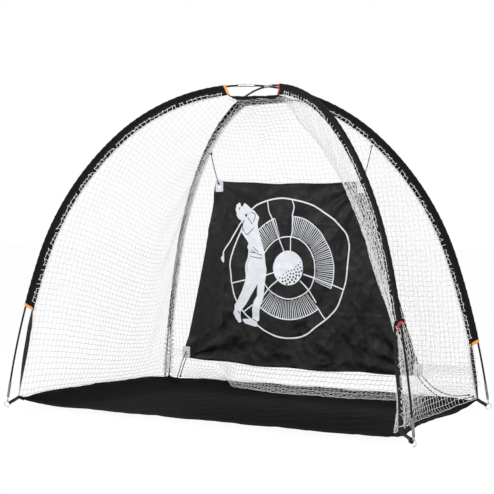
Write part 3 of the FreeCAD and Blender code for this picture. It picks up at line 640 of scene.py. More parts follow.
def ribbon(name, line, across, width, thickness, ridges=4, ridge=0.00018, twist=None):
    """Closed strap of webbing along a line, with lengthwise ridges on both faces."""
    ahead = unit(np.gradient(line, axis=0))
    across = np.broadcast_to(across, line.shape)
    across = unit(across - ahead * np.sum(across * ahead, axis=1, keepdims=True))
    face = np.cross(ahead, across)
    if twist is not None:
        across = across * np.cos(twist)[:, None] + face * np.sin(twist)[:, None]
        face = np.cross(ahead, across)
    count = 4 * ridges + 1
    share = np.linspace(-0.5, 0.5, count)
    height = thickness / 2 * (1 - (2 * np.abs(share)) ** 8) + 0.00015
    height = height - ridge * (0.5 - 0.5 * np.cos(2 * math.pi * ridges * (share + 0.5)))
    side = np.concatenate([share, share[::-1]]) * width
    up = np.concatenate([height, -height[::-1]])
    points = line[:, None] + across[:, None] * side[:, None] + face[:, None] * up[:, None]
    uv = np.stack(np.broadcast_arrays(side[None, :], runs_along(line)[:, None]), axis=2)
    i = np.arange(count - 1)
    first = np.stack([i, i + 1, 2 * count - 2 - i, 2 * count - 1 - i], axis=1)
    last = first[:, ::-1] + (len(line) - 1) * 2 * count
    quads = grid_faces(len(line), 2 * count, wrap=True)
    return build_mesh(name, points, np.vstack([quads, first, last]), uv.reshape(-1, 2))


RING_RADIUS = 0.013
LOOP_MIDDLE, LOOP_RADIUS = RING_RADIUS + 0.0031, 0.0088
LOOP_APEX, LOOP_WIDTH, LOOP_THICKNESS = 0.040, 0.014, 0.0012
STRIP_WIDTH, STRIP_THICKNESS, STRIP_SWAY = 0.020, 0.0013, 0.004
STRIP_POINTS = 90
CORNER_INSET, CORNER_LIFT = 0.046, 0.043
STRAP_SEWN, STRAP_FALL = 0.022, 0.36
TIP_SHIFT = {"front_right": np.array([-0.020, 0.0, 0.0])}
SEWING_DEPTHS = (0.0185, 0.0355)

# a binding's section, from its edge inside the sleeve round the sleeve's end (0) to its outer edge
# (1): where it is along the sleeve, and how far out it stands
HEM_AT = np.array([0.67, 0.11, 0.011, 0.0, 0.044, 0.22, 0.44, 0.69, 0.92, 0.99, 1.0])
HEM_OUT = np.array([-14, -12, -4, 4, 12, 14, 13, 14, 12, 6, -2]) * 1e-4

# turns of the hem strips about their own line, from the sleeve's end down to the floor
STRIP_TURNS = {"front_left": (1.35, 0.25, 0.15, 0.9, 1.5), "front_right": (1.5, 1.8, 2.05, 2.1, 2.0),
               "back_left": (0.9, 0.4, 0.3, 0.5, 0.9), "back_right": (1.3, 0.9, 0.6, 0.9, 1.2)}


def floor_tip(corner):
    """The floor's corner: in from the pole's end towards the pole's middle, and lifted."""
    point = leg_frame(corner, 0.0)[0] - outward(corner) * CORNER_INSET
    return point * (1, 1, 0) + TIP_SHIFT.get(corner, 0.0) + UP * CORNER_LIFT


def strip_ends(corner):
    """Where the hem strip leaves the sleeve, and where it meets the floor."""
    return beside_pole(corner, sleeve_bottom(corner) + 0.012, 0.030), floor_tip(corner) + UP * 0.006


def add_sleeve(corner, seed):
    """Sleeve, its two coloured bindings and its seams."""
    low, high = sleeve_bottom(corner), sleeve_top(corner)
    span = np.arange(low + 0.004, high - 0.004, 0.0045)
    leans = np.interp(span, [low, low + SLANT_FADE, high - SLANT_FADE, high],
                      [LOW_SLANT, 0, 0, TOP_SLANT])
    place(f"sleeve_{corner}_look",
          tube_along_pole("sleeve", corner, span, 0 * span, leans, seed=seed),
          SLEEVE_CLOTH, "frame", replaces=(f"sleeve_{corner}",))
    colour, tape = ("orange", ORANGE_TAPE) if LEGS[corner][0] == "a" else ("red", RED_TAPE)
    for tag, stations, slant in (("low", low + HEM_AT * LOW_BINDING, LOW_SLANT),
                                 ("top", high - HEM_AT * TOP_BINDING, TOP_SLANT)):
        binding = tube_along_pole("binding", corner, stations, HEM_OUT, [slant] * len(stations),
                                  0.6, seed + 3)
        place(f"binding_{corner}_{tag}", binding, tape, "frame",
              replaces=(f"{colour}_sleeve_bindings",))
    seams = Strands()
    for depth in SEWING_DEPTHS:
        for face in (-1, 1):
            stitch_row(seams, on_flange(corner, face, depth), low + 0.02, high - 0.02)
    place(f"sleeve_seams_{corner}", seams.mesh("seams"), THREAD, "frame")


def add_hem_strip(corner):
    """Strip from the sleeve's end to the floor, turned about its own line as it hangs."""
    top, foot = strip_ends(corner)
    normal = pole_normal(LEGS[corner][0])
    sway = normal * STRIP_SWAY
    line = smooth_through([top, top * 0.66 + foot * 0.34 + sway, top * 0.3 + foot * 0.7 - sway,
                           foot], STRIP_POINTS)
    turns = np.interp(np.linspace(0, 1, STRIP_POINTS), np.linspace(0, 1, 5), STRIP_TURNS[corner])
    place(f"hem_strip_{corner}_look",
          ribbon("strip", line, np.cross(normal, UP), STRIP_WIDTH, STRIP_THICKNESS, twist=turns),
          WEBBING, "frame", replaces=(f"hem_strip_{corner}",))


def add_webbing_loop(corner):
    """Webbing through the ground ring, its ends sewn to the floor's corner with a bar tack."""
    ring_low, ring_high = (np.array(v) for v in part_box(f"ground_ring_{corner}"))
    ring_middle, tip = (ring_low + ring_high) / 2, floor_tip(corner)
    inwards = -outward(corner)
    tilt = math.atan2((tip - ring_middle)[2], (tip - ring_middle) @ inwards)
    along = inwards * math.cos(tilt) + UP * math.sin(tilt)
    height = UP * math.cos(tilt) - inwards * math.sin(tilt)
    lateral = np.cross(height, along)

    def beside_ring(reach, aside, up=0.0):
        return ring_middle + along * reach + height * up + lateral * aside

    contact = math.acos(LOOP_RADIUS / (LOOP_APEX - LOOP_MIDDLE))
    round_ring = [beside_ring(LOOP_MIDDLE + LOOP_RADIUS * math.cos(t), LOOP_RADIUS * math.sin(t))
                  for t in np.linspace(contact, 2 * math.pi - contact, 33)]
    ends = []
    for side, start in ((1, round_ring[0]), (-1, round_ring[-1])):
        sewn = tip + inwards * 0.003 + UP * 0.0012 + lateral * side * 0.0010
        last = sewn + inwards * STRAP_SEWN - UP * (STRAP_SEWN * STRAP_FALL)
        neck = beside_ring(LOOP_APEX - 0.001, side * 0.0012)
        ends.append(smooth_through([start, neck, sewn, last], 30))
    line = np.vstack([ends[0][::-1], round_ring[1:-1], ends[1]])
    place(f"webbing_loop_{corner}_look",
          ribbon("loop", line, height, LOOP_WIDTH, LOOP_THICKNESS, ridges=3),
          WEBBING, "frame", replaces=(f"webbing_loop_{corner}",))

    tack = Strands()
    for k in range(7):
        up, stagger = (k - 3) * 0.0018, 0.0004 * (k % 2)
        for side in (0.0021, -0.0021):
            tack.add([beside_ring(0.0405 + stagger, side, up), beside_ring(0.045, side * 1.1, up),
                      beside_ring(0.0495 - stagger, side, up)], 0.0004)
    place(f"bar_tack_{corner}", tack.mesh("tack"), THREAD, "frame")


for corner in LEGS:
    add_sleeve(corner, corner_number(corner) * 31 + 5)
    add_hem_strip(corner)
    add_webbing_loop(corner)

# ---------------- the CAD pieces that stay

FINISHES = {"section": POLE_RESIN, "joining_ferrules": FERRULE_METAL, "end_ferrule": TIP_METAL,
            "ground_pin": PIN_METAL, "ground_ring": RING_METAL, "shock_cord": BLACK_CORD,
            "target_grommets": GROMMET_METAL}
for name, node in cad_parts.items():
    for word, finish in FINISHES.items():
        if word in name and not node.material_slots:
            node.data.materials.append(finish)
        elif word in name:
            for slot in node.material_slots:
                slot.material = finish

# ---------------- floor sheet


def thick_sheet(name, grid, thickness, uv, drop=None):
    """Closed sheet of even thickness about a grid of points; drop says which quads to leave out."""
    rows, columns = grid.shape[:2]
    normal = unit(np.cross(np.gradient(grid, axis=1), np.gradient(grid, axis=0)))
    half = np.broadcast_to(thickness / 2, (rows, columns))[..., None]
    points = np.concatenate([(grid + normal * half).reshape(-1, 3),
                             (grid - normal * half).reshape(-1, 3)])
    face = grid_faces(rows, columns)
    if drop is not None:
        face = face[~drop]
    count = rows * columns
    directed = np.concatenate([face[:, [k, (k + 1) % 4]] for k in range(4)])
    key = directed[:, 0].astype(np.int64) * count + directed[:, 1]
    back = directed[:, 1].astype(np.int64) * count + directed[:, 0]
    rim = directed[~np.isin(key, back)]
    walls = np.stack([rim[:, 1], rim[:, 0], rim[:, 0] + count, rim[:, 1] + count], axis=1)
    quads = np.vstack([face, face[:, ::-1] + count, walls])
    return build_mesh(name, points, quads, np.vstack([uv.reshape(-1, 2)] * 2))


FLOOR_ORDER = ("front_left", "front_right", "back_right", "back_left")
EDGE_LIFT = (0.020, 0.002, 0.042, 0.055)
EDGE_BOW = (0.0, 0.080, 0.0, 0.0)
FLOOR_FOLD, CORNER_REACH = 0.170, 0.20
FLOOR_THICKNESS = 0.0012
HEM = 0.022
FLOOR_WAVES = [(0.0010, (0.31, 0.55)), (0.0009, (0.17, -0.21)), (0.0006, (0.09, 0.12)),
               (0.0005, (0.26, 0.07))]
CREASES_ACROSS, CREASE_ALONG = (-0.47, 0.03, 0.52), -0.02
TIPS = [floor_tip(corner)[:2] for corner in FLOOR_ORDER]


def edge_distances(points):
    """For each floor edge: share along it, distance in from it, and its length."""
    found = []
    for i in range(4):
        start, end = TIPS[i], TIPS[(i + 1) % 4]
        length = np.linalg.norm(end - start)
        along = (end - start) / length
        inwards = np.array([-along[1], along[0]])
        offset = points - start
        share = np.clip(offset @ along / length, 0, 1)
        found.append((share, offset @ inwards - EDGE_BOW[i] * 4 * share * (1 - share), length))
    return found


def floor_height(points):
    """Height of the floor cloth: flat, with its edges lifted and its corners drawn up."""
    over, under = 0.0, 1e-6
    for i, (share, inside, length) in enumerate(edge_distances(points)):
        near = np.minimum(share, 1 - share) * length
        corner = np.clip(1 - near / CORNER_REACH, 0, 1) ** 1.6
        lift = EDGE_LIFT[i] + (CORNER_LIFT - EDGE_LIFT[i]) * corner
        rise = np.clip(1 - inside / FLOOR_FOLD, 0, 1) ** 1.5
        over = over + rise ** 3 * lift
        under = under + rise ** 2
    return over / under


def spaced(length, step):
    """Shares along a side, closer together at the hems."""
    hem = np.array([0, 0.003, 0.010, 0.0175, HEM - 0.001, HEM + 0.002, 0.035])
    middle = np.linspace(0.05, length - 0.05, int(length / step))
    return np.concatenate([hem, middle, length - hem[::-1]]) / length


def floor_grid():
    """Points of the floor cloth, and how far each lies in from the nearest edge."""
    u, v = np.meshgrid(spaced(1.84, 0.014), spaced(0.97, 0.014))
    front_left, front_right, back_right, back_left = TIPS
    flat = patch(front_left, front_right, back_left, back_right, u, v)
    side = unit(back_right - front_right)
    flat = flat + (u * EDGE_BOW[1] * 4 * v * (1 - v))[..., None] * (-side[1], side[0])
    x, y = flat[..., 0], flat[..., 1]
    listed = flat.reshape(-1, 2)
    height = floor_height(listed).reshape(u.shape)
    inside = np.min([d[1].reshape(u.shape) for d in edge_distances(listed)], axis=0)
    lifted = np.clip(height / 0.02, 0, 1)
    height = height + np.maximum(ripple((x, y), FLOOR_WAVES, 41) + 0.0004, 0)
    height = height + lifted * 0.0011 * np.sin(x * 21 + 2.0 * np.sin(y * 9) + 5 * y)
    for away in [x - crease for crease in CREASES_ACROSS] + [y - CREASE_ALONG]:
        height = height + 0.0021 * np.exp(-(away / 0.007) ** 2)
    for tip in TIPS:
        away = flat - tip
        reach = np.linalg.norm(away, axis=2)
        fan = np.sin(11 * np.arctan2(away[..., 1], away[..., 0]))
        height = height + 0.0030 * fan * np.clip(reach / 0.06, 0, 1) * np.exp(-(reach / 0.17) ** 2)
    height = np.maximum(height, 0) + FLOOR_THICKNESS / 2 + 0.0001
    return np.stack([x, y, height], axis=2), inside


def stitch_sides(strands, grid, start, lay):
    """Stitches along the four hems of a grid of points; lay puts a point of it on the cloth."""
    for line in (grid[3], grid[-4], grid[:, 3], grid[:, -4]):
        runs = runs_along(line)

        def on_hem(distance, extra=0.0, line=line, runs=runs):
            return lay(points_at(distance, line, runs), extra)
        stitch_row(strands, on_hem, start, runs[-1] - start)


floor_points, floor_inside = floor_grid()
hemmed = 1 / (1 + np.exp((floor_inside - HEM) / 0.0009))
floor_piece = place("floor_sheet_look",
                    thick_sheet("floor", floor_points, FLOOR_THICKNESS + 0.0009 * hemmed,
                                floor_points[..., :2]),
                    FLOOR_CLOTH, "frame", replaces=("floor_sheet",))
hem_stitches = Strands()
stitch_sides(hem_stitches, floor_points, 0.02, lambda point, extra: point + UP * (0.0013 + extra))
hem_piece = place("floor_hem_stitches", hem_stitches.mesh("stitches"), THREAD, "frame")

# ---------------- net walls

NET_INSET, NET_EDGE_OFFSET = 0.043, 0.0025
NET_CLEARANCE = 0.005
TWINE, EDGE_TWINE = 0.00085, 0.00085 * 1.5
NET_COLUMNS = 161
TUCK_TOP, TUCK_FADE = 0.46, 0.30
DROOP_ONSET = 0.20
FOLD_SHARE, FOLD_REACH = 0.085, 0.195
NET_WAVES = [(0.0055, (0.42, 0.9)), (0.0035, (0.19, -1.3)), (0.0022, (0.11, 0.6))]


def net_edge(corner, other, share):
    """Point and inward direction on a wall's edge, from the floor corner (0) to the crown (1)."""
    bottom = sleeve_bottom(corner)
    foot = floor_tip(corner) - outward(corner) * 0.002 + UP * NET_CLEARANCE
    low = beside_pole(corner, bottom, NET_INSET)
    strip = np.linalg.norm(low - foot)
    along = share * (strip + sleeve_top(corner) - bottom)
    from_end = bottom + max(along - strip, 0.0)
    if along < strip:
        point = foot + (low - foot) * (along / strip)
    else:
        point = beside_pole(corner, from_end, NET_INSET)
    towards = pole_normal(LEGS[corner][0])
    if towards @ (leg_frame(other, 0.0)[0] - leg_frame(corner, 0.0)[0]) < 0:
        towards = -towards
    return point + towards * NET_EDGE_OFFSET, leg_frame(corner, from_end)[1]


def net_surface(wall, shares, seed):
    """Points of a wall at these shares of its height, from one pole to the other."""
    u = np.linspace(0, 1, NET_COLUMNS)
    arch = 4 * u * (1 - u)
    rows = []
    for share in shares:
        a, inward_a = net_edge(wall["first"], wall["second"], share)
        b, inward_b = net_edge(wall["second"], wall["first"], share)
        width, rest = np.linalg.norm(b - a), 1 - share
        inward = unit(inward_a + inward_b)
        level = unit(inward * (1, 1, 0))
        drawn = wall["tuck"] * smooth_step((TUCK_TOP - share) / TUCK_FADE) * smooth_step(
            (u - 0.10) / 0.70)
        slack = wall["sag"] * 2 * math.sqrt(max(share * rest, 0.0)) * (1 - drawn)
        line = mixed(a, b, u) + inward * (slack * arch)[:, None]
        push = wall["bow"] * arch * rest ** 3 * (1 - drawn * min(share / 0.05, 1))
        push = push + wall["hem_inset"] * np.minimum(arch * 3, 1) * rest ** 8
        line = line + level * push[:, None]
        line[:, 2] -= (CORNER_LIFT - wall["lift"]) * rest ** 6 * (1 - (2 * u - 1) ** 4)
        wave = ripple((u * width, np.full_like(u, share * 1.7)), NET_WAVES, seed)
        line = line + inward * (wave * np.minimum(arch * 2.5, 1) * min(share * 6, 1))[:, None]
        hang, skew = wall["droop"]
        line[:, 2] -= hang * width * np.sin(math.pi * u ** skew) * (
            1 - math.exp(-share / DROOP_ONSET)) * min(rest / 0.06, 1)
        rows.append(line)
    return fold_on_floor(np.array(rows), shares, u) if wall["fold"] else np.array(rows)


def fold_on_floor(rows, shares, u):
    """The back wall's slack falls forward onto the floor before it turns back to its hem."""
    upto = int(np.searchsorted(shares, FOLD_SHARE))
    hem, top = rows[0], rows[upto]
    reach = FOLD_REACH * smooth_step((u - 0.12) / 0.26) * smooth_step((0.90 - u) / 0.14)
    reach = reach * (1 + 0.10 * np.sin(u * 13 + 1.0) + 0.06 * np.sin(u * 31))
    first, second = hem.copy(), top.copy()
    first[:, 1] -= reach * 0.95
    second[:, 1] = hem[:, 1] - reach * 1.35
    first[:, 2], second[:, 2] = 0.012, 0.006
    blend = smooth_step(reach / 0.11)
    for i in range(upto):
        t = shares[i] / shares[upto]
        curve = ((1 - t) ** 3 * hem + 3 * t * (1 - t) ** 2 * first
                 + 3 * t * t * (1 - t) * second + t ** 3 * top)
        rows[i] = mixed(rows[i], curve, blend)
        rows[i][:, 2] += np.maximum(0.004 * np.sin(u * 150 + 9 * t) * t * (1 - t) * 4, 0)
    return rows


def keep_above_floor(points, gap=0.0032):
    ground = floor_height(points.reshape(-1, 3)[:, :2]).reshape(points.shape[:-1])
    points[..., 2] = np.maximum(points[..., 2], ground + FLOOR_THICKNESS + gap)
    return points


def even_shares(wall, seed):
    """Shares of a wall's height that lie half a mesh apart along the net."""
    even = np.linspace(0, 1, 241)
    coarse = net_surface(wall, even, seed)
    climb = np.linalg.norm(np.diff(coarse[:, 40:-20:20], axis=0), axis=2).mean(axis=1)
    climb = np.concatenate([[0], np.cumsum(climb)])
    steps = 2 * int(round(climb[-1] / MESH_PITCH))
    return np.interp(np.linspace(0, climb[-1], steps + 1), climb, even)


def net_piece(name, wall, seed):
    """A wall of knotted square mesh: rows and columns of twine a mesh apart, cut at the edges."""
    draw = np.random.default_rng(seed)
    shares = even_shares(wall, seed)
    rows = keep_above_floor(net_surface(wall, shares, seed))
    steps = len(rows) - 1
    runs = np.array([runs_along(row) for row in rows])
    runs -= runs[:, NET_COLUMNS // 2, None]
    reach = int(max(runs[:, -1].max(), -runs[:, 0].min()) / MESH_PITCH * 2) + 1
    offsets = np.arange(-reach, reach + 1) * MESH_PITCH / 2
    grid = np.array([points_at(offsets, row, run) for row, run in zip(rows, runs)])
    inside = (offsets > runs[:, :1] + 0.004) & (offsets < runs[:, -1:] - 0.004)
    loose = draw.normal(0, 1, grid.shape) * 0.0011
    grid = grid + loose * np.where(np.arange(steps + 1) % 2, 1.3, 1.0)[:, None, None]
    if wall["fold"]:
        grid = keep_above_floor(grid, 0.0012)
    strands = Strands()
    for i in range(0, steps + 1, 2):
        line = [rows[i][0], *grid[i, inside[i]], rows[i][-1]]
        strands.add(line, EDGE_TWINE if i in (0, steps) else TWINE)
    for m in range(0, len(offsets), 2):
        keep = np.flatnonzero(inside[:, m])
        if len(keep) < 2:
            continue
        line = [grid[i, m] for i in keep]
        side = rows[:, 0 if offsets[m] < 0 else -1]
        if keep[0] > 0:
            line.insert(0, (side[keep[0] - 1] + side[keep[0]]) / 2)
        if keep[-1] < steps:
            line.append((side[keep[-1] + 1] + side[keep[-1]]) / 2)
        strands.add(line, TWINE)
    for centre in grid[::2, ::2][inside[::2, ::2]]:
        strands.knot(centre, TWINE * 1.75)
    for end in (0, -1):
        strands.add(rows[:, end], EDGE_TWINE)
    place(name + "_look", strands.mesh(name), NET_TWINE, "frame", replaces=(name,))


# lift: the floor edge's height; bow, hem_inset: how far the foot pulls in; sag: how far the net pulls
# in; tuck: how much less it does low down; droop: how far the rows hang, as a share of their length,
# and how far their lowest point lies towards the second pole
EVEN_WALL = {"bow": 0.0, "hem_inset": 0.0, "tuck": 0.0, "droop": (0.0, 1.0), "fold": False}
net_piece("left_net_wall", {**EVEN_WALL, "first": "front_left", "second": "back_left",
                            "lift": EDGE_LIFT[3], "sag": 0.070, "droop": (0.13, 1.8)}, 61)
net_piece("back_net_wall", {**EVEN_WALL, "first": "back_left", "second": "back_right",
                            "lift": EDGE_LIFT[2], "sag": 0.030, "fold": True}, 62)
net_piece("right_net_wall", {**EVEN_WALL, "first": "back_right", "second": "front_right",
                             "lift": EDGE_LIFT[1], "sag": 0.128, "droop": (0.11, 1.4),
                             "bow": EDGE_BOW[1], "hem_inset": 0.036, "tuck": 0.50}, 63)

# the outer meshes of the nets are caught in the sleeves' flanges and lie on their faces
TIP_DEPTH, ROOT_DEPTH, FLANGE_NET_LIFT = 0.0215, 0.0415, 0.0019


def flange_meshes(corner, face, seed):
    """A row of drawn-out meshes on one face of a flange, from its edge to the seam."""
    draw = np.random.default_rng(seed)
    low, high = sleeve_bottom(corner) + 0.022, sleeve_top(corner) - 0.020
    tips, roots = [], []
    at = low
    while at < high:
        slip = 0.007 * math.sin(at * 23 + seed) + draw.normal(0, 0.002)
        tips.append((min(max(at + slip, low), high), TIP_DEPTH + abs(draw.normal(0, 0.0028))))
        roots.append((at, ROOT_DEPTH))
        at += MESH_PITCH * draw.uniform(0.86, 1.1)
    strands = Strands()

    def on_cloth(station, depth):
        return on_flange(corner, face, depth, FLANGE_NET_LIFT)(station)

    def add_twine(radius, *spots):
        strands.add([on_cloth(*spot) for spot in spots], radius)

    def halfway(a, b, along=0.0, deeper=0.0):
        return (a[0] + b[0]) / 2 + along, (a[1] + b[1]) / 2 + deeper

    for k, (tip, root) in enumerate(zip(tips, roots)):
        add_twine(TWINE * 1.25, root, halfway(tip, root, draw.normal(0, 0.0018)), tip)
        strands.knot(on_cloth(*tip), TWINE * 1.9)
        if k + 1 == len(tips):
            break
        next_tip, next_root = tips[k + 1], roots[k + 1]
        if draw.random() < 0.80:
            droop = draw.uniform(0.001, 0.007)
            add_twine(TWINE * 1.25, tip, halfway(tip, next_tip, deeper=droop), next_tip)
        if draw.random() < 0.18:
            add_twine(TWINE, tip, halfway(tip, next_root, deeper=0.002), next_root)
        deeper = draw.uniform(-0.002, 0.002) - 0.003
        add_twine(TWINE, root, halfway(root, next_root, deeper=deeper), next_root)
    return strands.mesh("edge")


for corner in LEGS:
    for face, side in ((-1, "near"), (1, "far")):
        edge = flange_meshes(corner, face, corner_number(corner) * 2 + (face > 0) + 70)
        place(f"net_edge_{corner}_{side}", edge, NET_TWINE, "frame")

# below the sleeves the nets are gathered round the hem strips and the pole's foot


def gathered_net(corner, lines, near, far, stand, flare, first, last, thickness):
    """Zigzags of mesh between the hem strip (0) and the pole (1), standing off their plane."""
    draw = np.random.default_rng(corner_number(corner) + 90)
    low = sleeve_bottom(corner)
    top, foot = strip_ends(corner)
    normal = pole_normal(LEGS[corner][0])
    length = np.linalg.norm(top - foot)
    strands = Strands()
    for k in range(lines):
        points = []
        at, turned = first * length + draw.uniform(0, MESH_PITCH), k % 2
        face = 1 if k % 4 < 2 else -1
        while at < last * length:
            down = at / length
            share = (far if turned else near) + draw.normal(0, 0.10)
            pole = leg_frame(corner, low * (1 - down) + 0.012 * down)[0]
            out = face * stand * draw.uniform(0.6, 1.2) * (1 + flare * max(down - 0.5, 0.0))
            points.append(mixed(mixed(top, foot, down), pole, share) + normal * out)
            at += MESH_PITCH / 2 * draw.uniform(0.7, 1.3)
            turned = 1 - turned
        strands.add(points, TWINE * thickness)
        for point in points[::2]:
            strands.knot(point, TWINE * thickness * 1.5)
    place(f"net_gathered_{corner}", strands.mesh("gathered"), NET_TWINE, "frame")


gathered_net("front_right", 5, 0.36, 0.66, 0.007, 4.0, 0.02, 0.97, 1.1)
gathered_net("back_left", 5, -0.35, 1.30, 0.010, 0.0, 0.0, 0.97, 2.3)
gathered_net("back_right", 3, -0.45, 0.30, 0.009, 0.0, 0.02, 0.85, 1.6)

# ---------------- crown cloth

CROWN_INSET, CROWN_GAP = 0.038, 0.006
CROWN_THICKNESS, CROWN_HEM = 0.0012, 0.10
CROWN_TWINE = 0.0013
CROWN_SIZE = (0.27, 0.17)
CROWN_WAVES = [(0.0011, (0.11, 0.2)), (0.0009, (0.045, -0.09)), (0.0005, (0.023, 0.04))]


def crown_grid():
    """Points of the crown cloth, its UVs, and the share of the way from front to back."""
    ends = [beside_pole(corner, sleeve_top(corner) + CROWN_GAP, CROWN_INSET)
            for corner in ("front_left", "front_right", "back_left", "back_right")]
    v, u = np.meshgrid(np.linspace(0, 1, 41), np.linspace(0, 1, 61), indexing="ij")
    grid = patch(*ends, u, v)
    across = 4 * u * (1 - u)
    arch = 4 * across * v * (1 - v)
    hem_drop = smooth_step((CROWN_HEM - v) / CROWN_HEM) * smooth_step(u / 0.16) * smooth_step(
        (1 - u) / 0.10)
    uv = np.stack([u, v], axis=2) * CROWN_SIZE
    grid[..., 1] += 0.010 * (1 - v) ** 3 * across + 0.010 * hem_drop
    grid[..., 2] += 0.006 * arch - 0.006 * (1 - v) ** 4 * across
    grid[..., 2] -= 0.011 * hem_drop * (1 + 0.35 * np.sin(u * 9 - 0.6))
    grid[..., 2] += (0.3 + arch) * ripple((uv[..., 0], uv[..., 1]), CROWN_WAVES, 17)
    return grid, uv, v


crown_points, crown_uv, crown_v = crown_grid()
crown_hem = 0.0008 / (1 + np.exp((crown_v - 0.13) / 0.012))
crown_piece = place("crown_cloth_look",
                    thick_sheet("crown", crown_points, CROWN_THICKNESS + crown_hem, crown_uv),
                    SLEEVE_CLOTH, "frame", replaces=("crown_cloth",))

# the nets' tops are gathered under the crown
gathered = Strands()
draw = np.random.default_rng(83)
under = crown_points - UP * 0.0042
for k in range(11, 41, 7):
    line = under[k, 1:-1:4]
    loose = draw.normal(0, 1, line.shape) * (0.0030, 0.0042, 0.0010)
    gathered.add(line + loose - UP * 0.0008, CROWN_TWINE)
for k in range(2, 60, 5):
    slip = draw.integers(-2, 3, 9)
    steps = np.arange(int(draw.integers(6, 11)), 40, 4)
    line = np.array([under[i, min(max(k + slip[j % 9], 0), 60)] for j, i in enumerate(steps)])
    loose = draw.normal(0, 1, line.shape) * (0.0026, 0.0020, 0.0010)
    gathered.add(line + loose - UP * 0.0012, CROWN_TWINE)
    for point in line[::2]:
        gathered.knot(point - UP * 0.0010, CROWN_TWINE * 1.5)
crown_net = place("crown_net_edge", gathered.mesh("crown_net"), NET_TWINE, "frame")

# ---------------- target sheet

TARGET_PLANE = 0.275
TOP_WIDTH, BOTTOM_WIDTH, TARGET_HEIGHT = 0.770, 1.225, 0.830
BASE_HEIGHT, TARGET_MIDDLE, TARGET_SHIFT, TARGET_DROP = 0.1625, 0.015, 0.042, 0.015
TARGET_THICKNESS = 0.0016
TAB = np.array([0.040, 0.052])
GROMMET_INSET, GROMMET_RISE = 0.021, 0.025
GROMMET_HOLE, GROMMET_PUSH = 0.0086, 0.016
HEM_SHARE, HEM_EXTRA = 0.0195, 0.0012


def target_corner(top, side):
    """Corner as (across, up); side is -1 on the left and 1 on the right."""
    half = (TOP_WIDTH if top else BOTTOM_WIDTH) / 2
    shift = -TARGET_SHIFT / 2 if top else TARGET_SHIFT / 2
    return np.array([TARGET_MIDDLE + shift + side * half,
                     BASE_HEIGHT + (TARGET_HEIGHT if top else 0) - side * TARGET_DROP / 2])


TARGET_CORNERS = [target_corner(top, side) for top in (True, False) for side in (-1, 1)]
TOP_LEFT, TOP_RIGHT, BOTTOM_LEFT, BOTTOM_RIGHT = TARGET_CORNERS
GROMMETS = [TOP_LEFT + (GROMMET_INSET, -GROMMET_RISE), TOP_RIGHT - (GROMMET_INSET, GROMMET_RISE),
            BOTTOM_LEFT + (GROMMET_INSET, GROMMET_RISE),
            BOTTOM_RIGHT + (-GROMMET_INSET, GROMMET_RISE)]
RELIEF_LIMIT = 0.011
TARGET_WAVES = [(0.0030, (0.62, 0.9)), (0.0018, (0.33, -0.5)), (0.0014, (0.21, 0.3)),
                (0.0008, (0.12, -0.16)), (0.0004, (0.066, 0.09))]
# upright folds: where they meet the top and the bottom, their height and width
UPRIGHT_FOLDS = ((-0.329, -0.362, 0.0050, 0.010), (-0.010, -0.012, 0.0022, 0.007),
                 (0.323, 0.371, 0.0055, 0.011))
# level folds: how high up they lie, and their height
LEVEL_FOLDS = ((0.795, 0.0012), (0.60, 0.0010), (0.40, 0.0012))
# pull lines that fan out from each corner: how many, their height, their reach and their turn
CORNER_PULLS = ((9, 0.0030, 0.26, 0.4), (11, 0.0046, 0.33, 1.1), (10, 0.0040, 0.34, 2.0),
                (12, 0.0036, 0.36, 0.2))
# irregular creases: their height, how the noise is stretched across and up, and its settings
CREASES = ((0.0040, (6.2, 1.6), (-1.1, 4.2), 3.7, (0.9, 2.1, 4, 0.9, 2.0)),
           (0.0026, (15.0, -4.0), (3.0, 13.0), 8.2, (0.8, 2.2, 3, 0.9, 1.8)),
           (0.0012, (31.0, 9.0), (-6.0, 27.0), 1.4, (0.8, 2.0, 2, 0.9, 1.8)))


def target_relief(x, z):
    """How far the sheet's cloth stands forward of its plane: creases, pull lines and crinkles."""
    share = (z - BASE_HEIGHT) / TARGET_HEIGHT
    relief = ripple((x, z), TARGET_WAVES, 29) + crumple(x, z)
    for top_x, base_x, height, width in UPRIGHT_FOLDS:
        across = x - (base_x + (top_x - base_x) * share)
        relief = relief + height * np.exp(-(across / width) ** 2) * (
            0.55 + 0.45 * np.sin(z * 11 + top_x * 30))
        relief = relief + height * 0.5 * np.tanh(across / 0.03) * np.exp(-(across / 0.14) ** 2)
    left_band = np.clip((-0.345 - 0.035 * (1 - share) - x) / 0.11, 0, 1)
    relief = relief - 0.010 * left_band
    for line_z, height in LEVEL_FOLDS:
        relief = relief + height * np.exp(-((z - line_z) / 0.008) ** 2)
    calm = np.ones_like(x)
    for corner, (waves, size, reach, turn) in zip(TARGET_CORNERS, CORNER_PULLS):
        right, up = x - corner[0], z - corner[1]
        away = np.hypot(right, up)
        relief = relief + size * np.sin(waves * np.arctan2(up, right) * 1.6 + turn) * smooth_step(
            away / 0.09) * np.exp(-(away / reach) ** 2)
        near = np.maximum(np.abs(right) / TAB[0], np.abs(up) / TAB[1])
        calm = np.minimum(calm, smooth_step((near - 1.0) / 1.1))
    return np.clip(relief, -RELIEF_LIMIT, RELIEF_LIMIT) * calm


def crumple(x, z):
    """Sharp irregular creases, as folding and packing leave in a coated cloth."""
    found = [sum(height * (noise.ridged_multi_fractal(
        (a * across[0] + b * across[1], a * up[0] + b * up[1], depth), *settings) - 1.2)
        for height, across, up, depth, settings in CREASES)
        for a, b in zip(np.ravel(x), np.ravel(z))]
    return np.reshape(found, np.shape(x))


